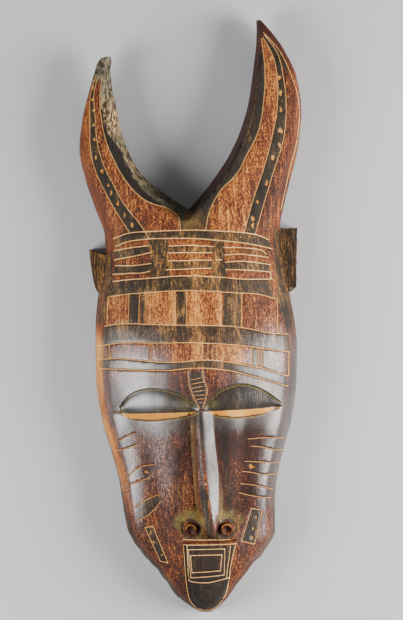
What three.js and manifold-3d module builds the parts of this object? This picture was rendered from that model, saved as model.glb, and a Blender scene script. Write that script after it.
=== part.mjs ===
// A carved wooden face mask with two long horns, lying on its back.
// It is one piece of wood, so it is one solid: a domed front, a flat back rim with a hollow inside it,
// two horns that rise clear of the table, and a short ear on each side.
// Millimetres. +X runs to the right as the face is looked at, +Y up to the horns, +Z out of the face.
import * as THREE from 'three';
import { mergeVertices } from 'three/addons/utils/BufferGeometryUtils.js';
import Module from 'manifold-3d';

const wasm = await Module();
wasm.setup();

// Driving sizes of the blank
const faceLength = 275;        // chin to the fork between the horns
const faceWidth = 138;         // across the temples
const foreheadHeight = 58;     // table to the forehead, above the brows
const chinWidth = 9;           // blunt end of the chin
const edgeHeight = 4;          // upright edge all round the back rim
const shoulderHeight = 38;     // where the sides turn into the front
const shoulderInset = 9;       // how far inside the outline that turn lies
const shoulderRound = 4;       // how softly the sides run into the front
const sideDrop = 30;           // how much lower the crown of the face is at its sides

// Driving sizes of the horns
const rightHornLength = 126;   // fork to tip
const leftHornLength = 104;    // the tip is lost
const hornSpread = 152;        // across both horns
const hornFrontDrop = 26;      // how far the front falls towards the tips
const hornEdgeHeight = 7;      // thickness left at the edge of a horn
const leftBevel = 11;          // width of the sloping inner side of each horn
const rightBevel = 6;
const leftLift = 15;           // how far the back of each tip is off the table
const rightLift = 9;
const forkReach = 40;          // how far below the fork its slopes can be felt
const hornBlend = 30;          // the sides change from face to horn over this length, both ways
const bevelRound = 3;          // how softly the inner slope of a horn runs into its outer side
const brokenTipWidth = 6;
const sharpTipWidth = 2.4;

// Driving sizes of the back
const rimWidth = 9;
const wallThickness = 11;
const hollowTop = 232;         // height on the mask where the hollow ends
const hollowSteepness = 13;    // height of the hollow 1 mm inside its rim
const hollowRound = 8;

// Driving sizes of the features
const browStep = 2.2;          // lids lie this far behind the edge of the brow
const lidEdgeStep = 3;
const lidSwell = 1.2;
const faceRecess = 8;          // cheeks lie this far behind the forehead
const eyeLine = 139.5;         // height of the eyes on the mask
const eyeSlit = 6;             // height of the cut under each lid
const leftLidRise = 15.4;      // height of each lid's arch
const rightLidRise = 16;
const noseTip = 61;            // table to the tip of the nose
const noseRoot = 57;
const noseLength = 81;
const ridgeWidth = 2.8;
const noseFacetDrop = 2.6;     // fall of the facet on each side of the ridge
const noseFacetShare = 0.6;    // part of the nose's side that this facet takes, before the steep flank
const nostrilRadius = 4.6;
const nostrilRise = 5;
const wingRise = 4;
const wingSpan = 37;           // across both wings of the nose
const wingHeight = 18;
const noseUndercut = 5;        // length of the slope under the tip of the nose
const mouthPlateRise = 2.6;
const mouthPlateTop = 51;      // height of the plate's upper edge on the mask
const mouthPlateFoot = 7;
const mouthPlateWidth = 35.6;
const edgeBevel = 1.2;         // slope of every small carved step
const earHeight = 17;          // table to the front of the ears

// Smooth curve through a few points, each a place and the value there
function curve(points) {
  const slope = (i) => (points[i + 1][1] - points[i][1]) / (points[i + 1][0] - points[i][0]);
  const last = points.length - 1;
  const tangent = points.map((point, i) => {
    if (i === 0) return slope(0);
    if (i === last) return slope(last - 1);
    const before = slope(i - 1);
    const after = slope(i);
    return before * after > 0 ? (2 * before * after) / (before + after) : 0;
  });
  return (place) => {
    const at = Math.min(Math.max(place, points[0][0]), points[last][0]);
    let i = 0;
    while (i < last - 1 && at > points[i + 1][0]) i += 1;
    const span = points[i + 1][0] - points[i][0];
    const t = (at - points[i][0]) / span;
    const rise = (1 - t) ** 2 * (1 + 2 * t) * points[i][1] + t ** 2 * (3 - 2 * t) * points[i + 1][1];
    const bend = t * (1 - t) ** 2 * tangent[i] - t ** 2 * (1 - t) * tangent[i + 1];
    return rise + bend * span;
  };
}

const mix = (a, b, t) => a + (b - a) * t;
const clamp01 = (t) => Math.min(Math.max(t, 0), 1);
const ease = (from, to, at) => {
  const t = clamp01((at - from) / (to - from));
  return t * t * (3 - 2 * t);
};
const softMin = (a, b, radius) => {
  const overlap = Math.max(radius - Math.abs(a - b), 0) / radius;
  return Math.min(a, b) - (overlap * overlap * radius) / 4;
};

// Outline: shares of the face's length and half width, then of each horn's length and half spread
const halfFace = faceWidth / 2;
const halfSpread = hornSpread / 2;
const onFace = ([along, across]) => [along * faceLength, across * halfFace];
const onHorn = (length) => ([along, across]) => [faceLength + along * length, across * halfSpread];
const onLeftHorn = onHorn(leftHornLength);
const onRightHorn = onHorn(rightHornLength);
const chinShare = chinWidth / faceWidth;
const forkX = -0.012 * halfFace;
const leftTipX = -0.736 * halfSpread;
const rightTipX = 0.679 * halfSpread;

const leftEdge = curve([
  ...[[0, -chinShare], [0.027, -0.229], [0.056, -0.333], [0.107, -0.464], [0.133, -0.559], [0.209, -0.745],
    [0.247, -0.774], [0.335, -0.814], [0.41, -0.881], [0.486, -0.958], [0.586, -1], [0.7, -0.99],
    [0.8, -0.945], [0.884, -0.854], [0.94, -0.857]].map(onFace),
  ...[[0.02, -0.846], [0.216, -0.925], [0.409, -0.968], [0.6, -0.93], [0.83, -0.854],
    [0.92, -0.8]].map(onLeftHorn),
  [faceLength + leftHornLength, leftTipX - brokenTipWidth / 3],
]);
const rightEdge = curve([
  ...[[0, chinShare], [0.027, 0.207], [0.051, 0.271], [0.099, 0.428], [0.147, 0.603], [0.193, 0.71],
    [0.27, 0.725], [0.319, 0.751], [0.393, 0.828], [0.467, 0.919], [0.565, 0.986], [0.665, 1.006],
    [0.765, 0.962], [0.86, 0.899], [0.93, 0.875]].map(onFace),
  ...[[0.003, 0.847], [0.223, 0.954], [0.341, 1.001], [0.52, 1.034], [0.69, 1], [0.8, 0.927],
    [0.91, 0.817]].map(onRightHorn),
  [faceLength + rightHornLength, rightTipX + sharpTipWidth / 2],
]);
const leftInner = curve([
  [faceLength, forkX],
  ...[[0.08, -0.172], [0.167, -0.325], [0.254, -0.437], [0.382, -0.526], [0.521, -0.587],
    [0.683, -0.621], [0.843, -0.655]].map(onLeftHorn),
  [faceLength + leftHornLength, leftTipX + (brokenTipWidth * 2) / 3],
]);
const rightInner = curve([
  [faceLength, forkX],
  ...[[0.069, 0.099], [0.169, 0.238], [0.292, 0.379], [0.433, 0.493], [0.575, 0.568], [0.748, 0.62],
    [0.907, 0.658]].map(onRightHorn),
  [faceLength + rightHornLength, rightTipX - sharpTipWidth / 2],
]);

// Line that the nose, mouth and fork follow
const axis = curve([
  [0, 0], [0.1 * faceLength, 0.048 * halfFace], [0.21 * faceLength, 0.083 * halfFace],
  [0.5 * faceLength, 0.043 * halfFace], [0.66 * faceLength, 0.043 * halfFace], [faceLength, forkX],
]);

// Front of the whole blank before the features are cut: height along the middle, and its fall to the sides
const crownLine = curve([
  ...[[0, 0.29], [0.03, 0.47], [0.09, 0.67], [0.22, 0.83], [0.385, 0.93], [0.527, 1], [0.62, 1],
    [0.71, 0.965], [0.83, 0.9], [0.93, 0.81], [1, 0.76]]
    .map(([along, height]) => [along * faceLength, height * foreheadHeight]),
  [faceLength + rightHornLength, foreheadHeight - hornFrontDrop],
]);
const fallLine = curve([
  [0, 0.4 * sideDrop], [0.2 * faceLength, 0.75 * sideDrop], [0.5 * faceLength, sideDrop],
  [0.75 * faceLength, 0.9 * sideDrop], [faceLength, 0.4 * sideDrop],
  [faceLength + rightHornLength, 0.27 * sideDrop],
]);
const across = (x, y) => {
  const middle = (leftEdge(y) + rightEdge(y)) / 2;
  return (x - middle) / ((rightEdge(y) - leftEdge(y)) / 2);
};
const crown = (x, y) => crownLine(y) - fallLine(y) * Math.min(Math.abs(across(x, y)), 1) ** 2.2;

// Distance from a place to a line of points
function distanceTo(line, x, y) {
  let nearest = Infinity;
  for (let i = 0; i < line.length - 1; i += 1) {
    const [ax, ay] = line[i];
    const [bx, by] = line[i + 1];
    const share = clamp01(((x - ax) * (bx - ax) + (y - ay) * (by - ay)) / ((bx - ax) ** 2 + (by - ay) ** 2));
    nearest = Math.min(nearest, Math.hypot(x - ax - share * (bx - ax), y - ay - share * (by - ay)));
  }
  return nearest;
}
const edgeStep = 3;
const trace = (edge, from, to) => {
  const count = Math.ceil((to - from) / edgeStep);
  return Array.from({ length: count + 1 }, (_, i) => {
    const y = mix(from, to, i / count);
    return [edge(y), y];
  });
};
const leftTip = faceLength + leftHornLength;
const rightTip = faceLength + rightHornLength;
const outerLine = [
  [leftInner(leftTip), leftTip],
  ...trace(leftEdge, 0, leftTip).reverse(),
  ...trace(rightEdge, 0, rightTip),
  [rightInner(rightTip), rightTip],
];
const leftInnerLine = trace(leftInner, faceLength, leftTip);
const rightInnerLine = trace(rightInner, faceLength, rightTip);

// Back of the horns: clear of the table from just above the face to the tips
const liftStart = faceLength - 12;
const liftOf = (tip, lift) => (y) => lift * clamp01((y - liftStart) / (tip - liftStart)) ** 1.4;
const leftBack = liftOf(leftTip, leftLift);
const rightBack = liftOf(rightTip, rightLift);

// Sides: rounded outside, a plain slope on the inner side of each horn
function sides(x, y) {
  const onHornShare = ease(faceLength - hornBlend, faceLength + hornBlend, y);
  const back = x < forkX ? leftBack(y) : rightBack(y);
  const foot = mix(edgeHeight, back + hornEdgeHeight, onHornShare);
  const outer = foot + (shoulderHeight - edgeHeight) * (distanceTo(outerLine, x, y) / shoulderInset) ** 0.55;
  if (y < faceLength - forkReach) return outer;
  const bevel = mix(leftBevel, rightBevel, ease(forkX - leftBevel, forkX + leftBevel, x));
  const tip = x < forkX ? leftTip : rightTip;
  const narrowing = mix(1, 0.45, clamp01((y - faceLength) / (tip - faceLength)));
  const gap = Math.min(distanceTo(leftInnerLine, x, y), distanceTo(rightInnerLine, x, y));
  const inner = back + hornEdgeHeight + (crownLine(y) - back - hornEdgeHeight) * (gap / (bevel * narrowing));
  return softMin(outer, inner, bevelRound);
}

// Eyes: each lid is an arch over a nearly straight cut
const eyes = [
  { outer: -0.757, peak: -0.449, inner: 0.009, rise: leftLidRise, outerRound: 0.5, innerRound: 0.75 },
  { outer: 0.843, peak: 0.41, inner: 0.067, rise: rightLidRise, outerRound: 1.12, innerRound: 0.75 },
].map((eye) => ({
  ...eye, outer: eye.outer * halfFace, peak: eye.peak * halfFace, inner: eye.inner * halfFace,
}));
function lidArch(x) {
  for (const eye of eyes) {
    const outward = (x - eye.peak) / (eye.outer - eye.peak);
    const inward = (x - eye.peak) / (eye.inner - eye.peak);
    if (outward >= 0 && outward < 1) return eye.rise * (1 - outward ** 2) ** eye.outerRound;
    if (inward > 0 && inward < 1) return eye.rise * (1 - inward ** 2) ** eye.innerRound;
  }
  return 0;
}
const eyeRise = Math.max(...eyes.map((eye) => eye.rise));
const slitDepth = (x) => eyeSlit * clamp01(lidArch(x) / eyeRise) ** 0.8;
const browAt = (x) => eyeLine + lidArch(x);
const slitAt = (x) => eyeLine - slitDepth(x);
const cheekFade = (x, y) => 1 - ease(0.45, 0.92, Math.abs(across(x, y)));
const recessLine = curve([[0, 0], [0.06 * faceLength, 0.1], [0.15 * faceLength, 0.6], [0.25 * faceLength, 1],
  [eyeLine, 1]]);

// Height of the forehead, lids and cheeks together
function facePlane(x, y) {
  const recess = faceRecess * recessLine(y) * cheekFade(x, y);
  const arch = lidArch(x);
  if (y <= slitAt(x)) return -recess;
  if (y >= browAt(x) + edgeBevel) return 0;
  const share = clamp01(arch / eyeRise);
  const cornerShare = ease(0, 0.4, share);
  if (y >= browAt(x)) {
    return mix(-browStep * cornerShare, 0, (y - browAt(x)) / edgeBevel);
  }
  if (y >= eyeLine) {
    const down = clamp01((browAt(x) - y) / Math.max(arch, 1e-6));
    const swell = lidSwell * 4 * down * (1 - down);
    return (mix(-browStep, -lidEdgeStep, down) + swell) * cornerShare;
  }
  return mix(-lidEdgeStep * cornerShare, -recess, (eyeLine - y) / Math.max(slitDepth(x), 1e-6));
}

// Nose: a narrow ridge, a gentle facet and a steep flank on each side, ending over two round nostrils
const noseFoot = eyeLine - noseLength;
const noseSide = (y) => mix(9.6, 7.4, clamp01((y - noseFoot) / noseLength));
const nostrils = [-0.116, 0.226].map((share) => ({ x: share * halfFace, y: noseFoot + wingHeight / 7 }));
const wings = {
  x: 0.052 * halfFace, y: noseFoot + wingHeight / 6, halfWidth: wingSpan / 2, halfHeight: wingHeight / 2,
};
function noseHeight(x, y, ground) {
  if (y > eyeLine + 2) return ground;
  const ridge = mix(noseTip, noseRoot, clamp01((y - noseFoot) / noseLength));
  const aside = Math.max(Math.abs(x - axis(y)) - ridgeWidth / 2, 0);
  const share = aside / (noseSide(y) - ridgeWidth / 2);
  const under = clamp01((noseFoot - y) / noseUndercut);
  if (share >= 1 || under >= 1) return ground;
  const facet = ridge - noseFacetDrop * Math.min(share / noseFacetShare, 1);
  const wedge = mix(facet, ground - 1, clamp01((share - noseFacetShare) / (1 - noseFacetShare)));
  return Math.max(ground, wedge - under * (ridge - ground + 2));
}

// Mouth: a raised plate with a round lower end
const plateHalf = curve([[0, 0.02], [0.07, 0.42], [0.2, 0.62], [0.42, 0.76], [0.7, 0.93], [1, 1]]
  .map(([along, width]) => [mix(mouthPlateFoot, mouthPlateTop, along), (width * mouthPlateWidth) / 2]));
function mouthPlate(x, y) {
  if (y < mouthPlateFoot || y > mouthPlateTop + edgeBevel) return 0;
  const inside = Math.min(plateHalf(y) - Math.abs(x - axis(y)), mouthPlateTop + edgeBevel - y);
  return mouthPlateRise * clamp01(inside / edgeBevel);
}

function front(x, y) {
  const ground = crown(x, y) + facePlane(x, y);
  const featured = noseHeight(x, y, ground) + mouthPlate(x, y);
  return softMin(featured, sides(x, y), shoulderRound);
}

// Columns of the front: close together over the nose or mouth and at the edges, the first one on the axis
const coreColumns = [0, 0.074, 0.3, 0.46, 0.7, 0.93, 1];
const flankColumns = [0.16, 0.32, 0.48, 0.63, 0.76, 0.87, 0.94, 0.98, 1];
const noseCore = wings.halfWidth + 0.5;
const forkCore = 2;            // extra width of the close columns beside the fork
function coreAt(y, bevel) {
  if (y <= mouthPlateTop + edgeBevel) return plateHalf(y);
  return mix(noseCore, bevel + forkCore, ease(faceLength - forkReach, faceLength - forkReach / 4, y));
}
function columnPlaces(from, to, coreWidth) {
  const span = Math.abs(to - from);
  const direction = Math.sign(to - from);
  const coreEnd = Math.min(coreWidth, span * 0.55);
  const core = coreColumns.map((share) => share * coreEnd);
  const flank = flankColumns.map((share) => mix(coreEnd, span, share));
  return [...core, ...flank].map((offset) => from + direction * offset);
}

// Rows of the front: level on the chin, forehead and horns, bent round the lids between them
const chinRows = [
  ...[0, 0.03, 0.07, 0.125, 0.18, 0.24, 0.31, 0.39, 0.49, 0.59, 0.7, 0.82, 0.92, 1]
    .map((share) => share * mouthPlateTop),
  mouthPlateTop + edgeBevel,
];
const noseRows = [
  noseFoot - 0.8 * noseUndercut,
  noseFoot - 0.3 * noseUndercut,
  ...[0, 0.037, 0.074, 0.11, 0.15, 0.2, 0.3].map((share) => noseFoot + share * noseLength),
];
const cheekRows = [0.42, 0.56, 0.7, 0.83, 0.93].map((share) => mix(noseFoot, eyeLine - eyeSlit, share));
const browTop = eyeLine + eyeRise + edgeBevel;
const foreheadRows = [0.06, 0.14, 0.22, 0.31, 0.4, 0.49, 0.58, 0.66, 0.74, 0.81, 0.87, 0.92, 0.95, 0.975, 1]
  .map((share) => mix(browTop, faceLength, share));
const level = (y) => ({ y, bent: () => y });
const bend = (y, line) => ({ y, bent: line });
const minimumGap = 0.35;
const rows = [
  ...chinRows.map(level),
  ...noseRows.map(level),
  ...cheekRows.map(level),
  bend(eyeLine - eyeSlit / 2, (x) => slitAt(x) - 2 * minimumGap),
  bend(eyeLine, () => eyeLine - minimumGap),
  bend(eyeLine + eyeRise * 0.35, (x) => eyeLine + lidArch(x) * 0.35),
  bend(eyeLine + eyeRise * 0.7, (x) => eyeLine + lidArch(x) * 0.7 + minimumGap),
  bend(eyeLine + eyeRise, (x) => browAt(x) + 2 * minimumGap),
  bend(browTop, (x) => browAt(x) + edgeBevel + 2 * minimumGap),
  ...foreheadRows.map(level),
];
const hornRows = [0.012, 0.026, 0.042, 0.06, 0.08, 0.105, 0.135, 0.17, 0.21, 0.26, 0.32, 0.4, 0.48,
  0.56, 0.64, 0.72, 0.8, 0.87, 0.93, 0.97, 1];

// Solid between the front and the flat back, from shared rows of points
function blank() {
  const points = [];
  const faces = [];
  const add = (x, y, z) => points.push([x, y, z]) - 1;
  const half = coreColumns.length + flankColumns.length;
  const stitch = (lower, upper) => {
    for (let i = 0; i < lower.length - 1; i += 1) {
      faces.push([lower[i], lower[i + 1], upper[i + 1]], [lower[i], upper[i + 1], upper[i]]);
    }
  };
  const faceRows = rows.map(({ y, bent }) => {
    const middle = axis(y);
    const left = columnPlaces(middle, leftEdge(bent(-halfFace)), coreAt(y, leftBevel)).reverse();
    const right = columnPlaces(middle, rightEdge(bent(halfFace)), coreAt(y, rightBevel)).slice(1);
    return [...left, ...right].map((x) => add(x, bent(x), front(x, bent(x))));
  });
  faceRows.slice(1).forEach((row, i) => stitch(faceRows[i], row));
  const fork = faceRows[faceRows.length - 1];
  const growHorn = (firstRow, length, edge, inner) => {
    const hornFaceRows = [firstRow];
    for (const share of hornRows) {
      const y = faceLength + share * length;
      const places = columnPlaces(inner(y), edge(y), forkCore + (edge === leftEdge ? leftBevel : rightBevel));
      const ordered = edge === leftEdge ? places.reverse() : places;
      hornFaceRows.push(ordered.map((x) => add(x, y, front(x, y))));
    }
    hornFaceRows.slice(1).forEach((row, i) => stitch(hornFaceRows[i], row));
    return hornFaceRows.slice(1);
  };
  const leftRows = growHorn(fork.slice(0, half), leftHornLength, leftEdge, leftInner);
  const rightRows = growHorn(fork.slice(half - 1), rightHornLength, rightEdge, rightInner);
  const first = (row) => row[0];
  const final = (row) => row[row.length - 1];
  const loop = [
    ...faceRows[0],
    ...faceRows.slice(1).map(final),
    ...rightRows.slice(0, -1).map(final),
    ...[...final(rightRows)].reverse(),
    ...rightRows.slice(0, -1).map(first).reverse(),
    fork[half - 1],
    ...leftRows.slice(0, -1).map(final),
    ...[...final(leftRows)].reverse(),
    ...leftRows.slice(0, -1).map(first).reverse(),
    ...faceRows.slice(1).map(first).reverse(),
  ];
  const foot = loop.map((index) => add(points[index][0], points[index][1], 0));
  loop.forEach((index, i) => {
    const next = (i + 1) % loop.length;
    faces.push([foot[i], foot[next], loop[next]], [foot[i], loop[next], index]);
  });
  const outline = loop.map((index) => new THREE.Vector2(points[index][0], points[index][1]));
  for (const [a, b, c] of THREE.ShapeUtils.triangulateShape(outline, [])) {
    faces.push([foot[c], foot[b], foot[a]]);
  }
  return solidFrom(points, faces);
}

// Hollow in the back: as deep as the front allows, with sloping sides
const hollowFoot = rimWidth + 6;
function hollow() {
  const points = [];
  const faces = [];
  const rowCount = 26;
  const shares = [0, 0.03, 0.08, 0.16, 0.27, 0.38, 0.5, 0.62, 0.73, 0.84, 0.92, 0.97, 1];
  const below = 1;
  const roof = [];
  for (let j = 0; j <= rowCount; j += 1) {
    const along = (1 - Math.cos((Math.PI * j) / rowCount)) / 2;
    const y = mix(hollowFoot, hollowTop, along);
    const rounding = Math.sqrt(1 - Math.abs(2 * along - 1) ** 6);
    const middle = (leftEdge(y) + rightEdge(y)) / 2;
    const reach = ((rightEdge(y) - leftEdge(y)) / 2 - rimWidth) * mix(0.35, 1, rounding);
    roof.push(shares.map((share) => {
      const x = mix(middle - reach, middle + reach, share);
      const inset = Math.min(reach - Math.abs(x - middle), y - hollowFoot, hollowTop - y);
      const slope = hollowSteepness * Math.sqrt(Math.max(inset, 0)) - below;
      const ceiling = crown(x, y) - faceRecess * recessLine(y) * cheekFade(x, y) - wallThickness;
      const roofLimit = Math.min(ceiling, sides(x, y) - wallThickness);
      points.push([x, y, softMin(slope, roofLimit, hollowRound) - below]);
      return points.length - 1;
    }));
  }
  const floor = roof.map((row) => row.map((index) => {
    points.push([points[index][0], points[index][1], -3 * below - 2]);
    return points.length - 1;
  }));
  const quad = (a, b, c, d) => faces.push([a, b, c], [a, c, d]);
  for (let j = 0; j < rowCount; j += 1) {
    for (let i = 0; i < shares.length - 1; i += 1) {
      quad(roof[j][i], roof[j][i + 1], roof[j + 1][i + 1], roof[j + 1][i]);
      quad(floor[j][i], floor[j + 1][i], floor[j + 1][i + 1], floor[j][i + 1]);
    }
    const end = shares.length - 1;
    quad(roof[j][0], roof[j + 1][0], floor[j + 1][0], floor[j][0]);
    quad(roof[j][end], floor[j][end], floor[j + 1][end], roof[j + 1][end]);
  }
  for (let i = 0; i < shares.length - 1; i += 1) {
    quad(roof[0][i], floor[0][i], floor[0][i + 1], roof[0][i + 1]);
    quad(roof[rowCount][i], roof[rowCount][i + 1], floor[rowCount][i + 1], floor[rowCount][i]);
  }
  return solidFrom(points, faces);
}

// Wood taken away under a horn, so that its back rises towards the tip
function underHorn(back, tip, fromX, toX) {
  const steps = 12;
  const profile = new THREE.Shape();
  profile.moveTo(liftStart, -5);
  for (let i = 0; i <= steps; i += 1) {
    const y = mix(liftStart, tip + 5, i / steps);
    profile.lineTo(y, Math.max(back(y), 0));
  }
  profile.lineTo(tip + 5, -5);
  const geometry = new THREE.ExtrudeGeometry(profile, { depth: toX - fromX, bevelEnabled: false });
  geometry.applyMatrix4(new THREE.Matrix4().makeBasis(
    new THREE.Vector3(0, 1, 0), new THREE.Vector3(0, 0, 1), new THREE.Vector3(1, 0, 0),
  ).setPosition(fromX, 0, 0));
  return solidOf(geometry);
}

// Ears: stubs beside the bands of the forehead, lower than the front, sunk into the side of the head
const leftEar = [[0.911, -1.01], [0.796, -0.935], [0.83, -0.77], [0.89, -0.77]];
const rightEar = [[0.942, 1.049], [0.87, 1.029], [0.797, 1.017], [0.783, 0.941], [0.83, 0.77], [0.942, 0.77]];
function ear(corners) {
  const places = corners.map(([along, out]) => new THREE.Vector2(out * halfFace, along * faceLength));
  const shape = new THREE.Shape(places);
  return solidOf(new THREE.ExtrudeGeometry(shape, { depth: earHeight, bevelEnabled: false }));
}

// Rounded swelling on the front, part of a stretched ball
function swelling({ x, y, halfWidth, halfHeight, rise, sunk }) {
  const ball = new THREE.SphereGeometry(1, 20, 14);
  ball.scale(halfWidth, halfHeight, rise + sunk);
  ball.translate(x, y, crown(x, y) + facePlane(x, y) - sunk);
  return solidOf(ball);
}

function solidFrom(points, faces) {
  const geometry = new THREE.BufferGeometry();
  geometry.setAttribute('position', new THREE.Float32BufferAttribute(points.flat(), 3));
  geometry.setIndex(faces.flat());
  return solidOf(geometry);
}

function solidOf(geometry) {
  const bare = geometry.clone();
  bare.deleteAttribute('normal');
  bare.deleteAttribute('uv');
  const merged = mergeVertices(bare, 1e-4);
  return new wasm.Manifold(new wasm.Mesh({
    numProp: 3,
    vertProperties: Float32Array.from(merged.attributes.position.array),
    triVerts: Uint32Array.from(merged.index.array),
  }));
}

function geometryOf(solid) {
  const mesh = solid.getMesh();
  const geometry = new THREE.BufferGeometry();
  geometry.setAttribute('position', new THREE.BufferAttribute(mesh.vertProperties, 3));
  geometry.setIndex(new THREE.BufferAttribute(mesh.triVerts, 1));
  geometry.computeVertexNormals();
  return geometry;
}

const far = hornSpread;
const nostrilBall = {
  halfWidth: nostrilRadius, halfHeight: nostrilRadius, rise: wingRise + nostrilRise, sunk: 2,
};
const carved = blank()
  .add(swelling({ ...wings, rise: wingRise, sunk: 3 }))
  .add(swelling({ ...nostrils[0], ...nostrilBall }))
  .add(swelling({ ...nostrils[1], ...nostrilBall }))
  .add(ear(leftEar))
  .add(ear(rightEar))
  .subtract(underHorn(leftBack, leftTip, forkX - far, forkX))
  .subtract(underHorn(rightBack, rightTip, forkX, forkX + far))
  .subtract(hollow());

const wood = new THREE.MeshStandardMaterial({ color: 0x4a2618, roughness: 0.42, metalness: 0 });
const mask = new THREE.Mesh(geometryOf(carved), wood);
mask.name = 'mask';

// The model's origin is under the middle of the mask, on the table
mask.geometry.computeBoundingBox();
const middle = mask.geometry.boundingBox.getCenter(new THREE.Vector3());
mask.position.set(-middle.x, -middle.y, 0);

const part = new THREE.Group();
part.add(mask);

export default part;
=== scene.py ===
import math
import bpy
import numpy as np
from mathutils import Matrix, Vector, noise
from mathutils.geometry import delaunay_2d_cdt


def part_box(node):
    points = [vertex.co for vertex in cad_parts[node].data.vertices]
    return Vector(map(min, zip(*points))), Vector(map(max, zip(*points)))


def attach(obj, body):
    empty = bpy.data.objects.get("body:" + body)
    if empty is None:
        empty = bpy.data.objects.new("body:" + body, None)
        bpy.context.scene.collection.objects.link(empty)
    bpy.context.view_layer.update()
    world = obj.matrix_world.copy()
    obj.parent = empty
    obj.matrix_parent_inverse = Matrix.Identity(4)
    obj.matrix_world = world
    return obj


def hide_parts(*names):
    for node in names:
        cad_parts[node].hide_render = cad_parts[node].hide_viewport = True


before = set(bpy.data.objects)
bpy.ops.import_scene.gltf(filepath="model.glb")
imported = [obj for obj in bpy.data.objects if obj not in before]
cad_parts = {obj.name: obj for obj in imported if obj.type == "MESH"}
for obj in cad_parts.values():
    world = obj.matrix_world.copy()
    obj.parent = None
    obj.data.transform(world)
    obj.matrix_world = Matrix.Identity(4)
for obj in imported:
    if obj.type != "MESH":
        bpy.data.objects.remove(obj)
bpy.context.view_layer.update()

# All places on the mask are in millimetres: x from the middle of the chin, y up from the chin to the horns,
# z up from the table. They are turned into the frame's metres when the mesh is made.
millimetre = 0.001

blank = {
    "faceLength": 275.0, "faceWidth": 138.0, "foreheadHeight": 58.0, "chinWidth": 9.0,
    "edgeHeight": 4.0, "shoulderHeight": 38.0, "shoulderInset": 9.0, "shoulderRound": 4.0, "sideDrop": 30.0,
}
horns = {
    "rightLength": 126.0, "leftLength": 104.0, "spread": 152.0, "frontDrop": 26.0, "edgeHeight": 7.0,
    "leftBevel": 11.0, "rightBevel": 6.0, "bevelRound": 3.0, "leftLift": 15.0, "rightLift": 9.0,
    "forkReach": 40.0, "blend": 30.0, "brokenTipWidth": 6.0, "sharpTipWidth": 2.4,
    "leftTipPlace": -0.707, "rightTipPlace": 0.679,
}
back = {
    "rimWidth": 9.0, "footMargin": 6.0, "wallThickness": 11.0, "hollowTop": 232.0, "steepness": 13.0,
    "round": 8.0, "gougeDepth": 0.7,
}
features = {
    "browStep": 2.2, "lidEdgeStep": 3.0, "lidSwell": 1.2, "faceRecess": 8.0, "eyeLine": 139.5,
    "eyeSlit": 6.0, "noseTip": 61.0, "noseRoot": 57.0, "noseLength": 81.0, "noseUndercut": 5.0,
    "noseFootHalf": 9.6, "noseRootHalf": 7.4, "ridgeTop": 1.6, "ridgeShift": 0.8, "footShift": 1.5,
    "footRound": 26.0, "shiftReach": 25.0, "facetReach": 40.0, "facetDrop": 2.6, "rightFacetFall": 1.25,
    "leftFacetShare": 0.6, "rightFacetShare": 0.88, "footFacetShare": 0.45,
    "nostrilRadius": 4.6, "nostrilRise": 5.0, "crestRise": 6.6, "pitRadius": 3.3, "pitDrop": 1.0,
    "pitDepth": 3.4, "wingRise": 4.0, "wingSpan": 37.0, "wingHeight": 18.0,
    "plateRise": 2.6, "plateTop": 51.0, "plateWidth": 35.6, "plateFoot": 7.0, "bevel": 1.2,
    "earHeight": 17.0,
}
knife = {
    "lineDepth": 0.5, "notchDepth": 0.7, "wobble": 0.18, "wobbleLength": 6.0, "facetDepth": 0.3,
    "facetSize": 9.0, "chipDepth": 0.9, "chipSize": 6.5, "jawChipDepth": 2.2, "ringDepth": 0.6,
    "grainDepth": 0.06, "markDepth": 0.5, "roughDepth": 0.35,
}
mesh = {
    "outlineStep": 1.1, "rowStep": 0.85, "spacing": 1.25, "rings": [0.35, 0.9, 1.8, 3.0], "cutStep": 1.5,
    "shapeStep": 2.0, "rowGap": 0.35, "ringGap": 0.3, "evenGap": 0.72, "hollowRowStep": 1.4,
    "hollowRowGap": 0.2, "backSpacing": 2.4, "backGap": 0.99, "smoothAngle": 38.0,
}

length = blank["faceLength"]
halfFace = blank["faceWidth"] / 2
halfSpread = horns["spread"] / 2
leftTip = length + horns["leftLength"]
rightTip = length + horns["rightLength"]
forkX = -0.012 * halfFace
leftTipX = horns["leftTipPlace"] * halfSpread
rightTipX = horns["rightTipPlace"] * halfSpread
liftStart = length - 12
hollowFoot = back["rimWidth"] + back["footMargin"]
hollowTop = back["hollowTop"]


def smoothCurve(points):
    # a value along one direction that never swings past its points
    places = np.array([p[0] for p in points], float)
    values = np.array([p[1] for p in points], float)
    slopes = np.diff(values) / np.diff(places)
    tangents = np.zeros(len(places))
    tangents[0], tangents[-1] = slopes[0], slopes[-1]
    before, after = slopes[:-1], slopes[1:]
    same = before * after > 0
    tangents[1:-1][same] = 2 * before[same] * after[same] / (before[same] + after[same])

    def value(at):
        at = np.clip(np.asarray(at, float), places[0], places[-1])
        i = np.clip(np.searchsorted(places, at, side="left") - 1, 0, len(places) - 2)
        span = places[i + 1] - places[i]
        t = (at - places[i]) / span
        rise = (1 - t) ** 2 * (1 + 2 * t) * values[i] + t ** 2 * (3 - 2 * t) * values[i + 1]
        bend = t * (1 - t) ** 2 * tangents[i] - t ** 2 * (1 - t) * tangents[i + 1]
        return rise + bend * span
    return value


def mix(a, b, t):
    return a + (b - a) * t


def ease(start, end, at):
    t = np.clip((at - start) / (end - start), 0, 1)
    return t * t * (3 - 2 * t)


def softMin(a, b, radius):
    overlap = np.maximum(radius - np.abs(a - b), 0) / radius
    return np.minimum(a, b) - overlap * overlap * radius / 4


def wander(x, y, size, seed):
    # smooth unevenness from -1 to 1 over a given size
    return np.array([noise.noise(Vector((px / size, py / size, seed))) for px, py in zip(x, y)])


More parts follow.
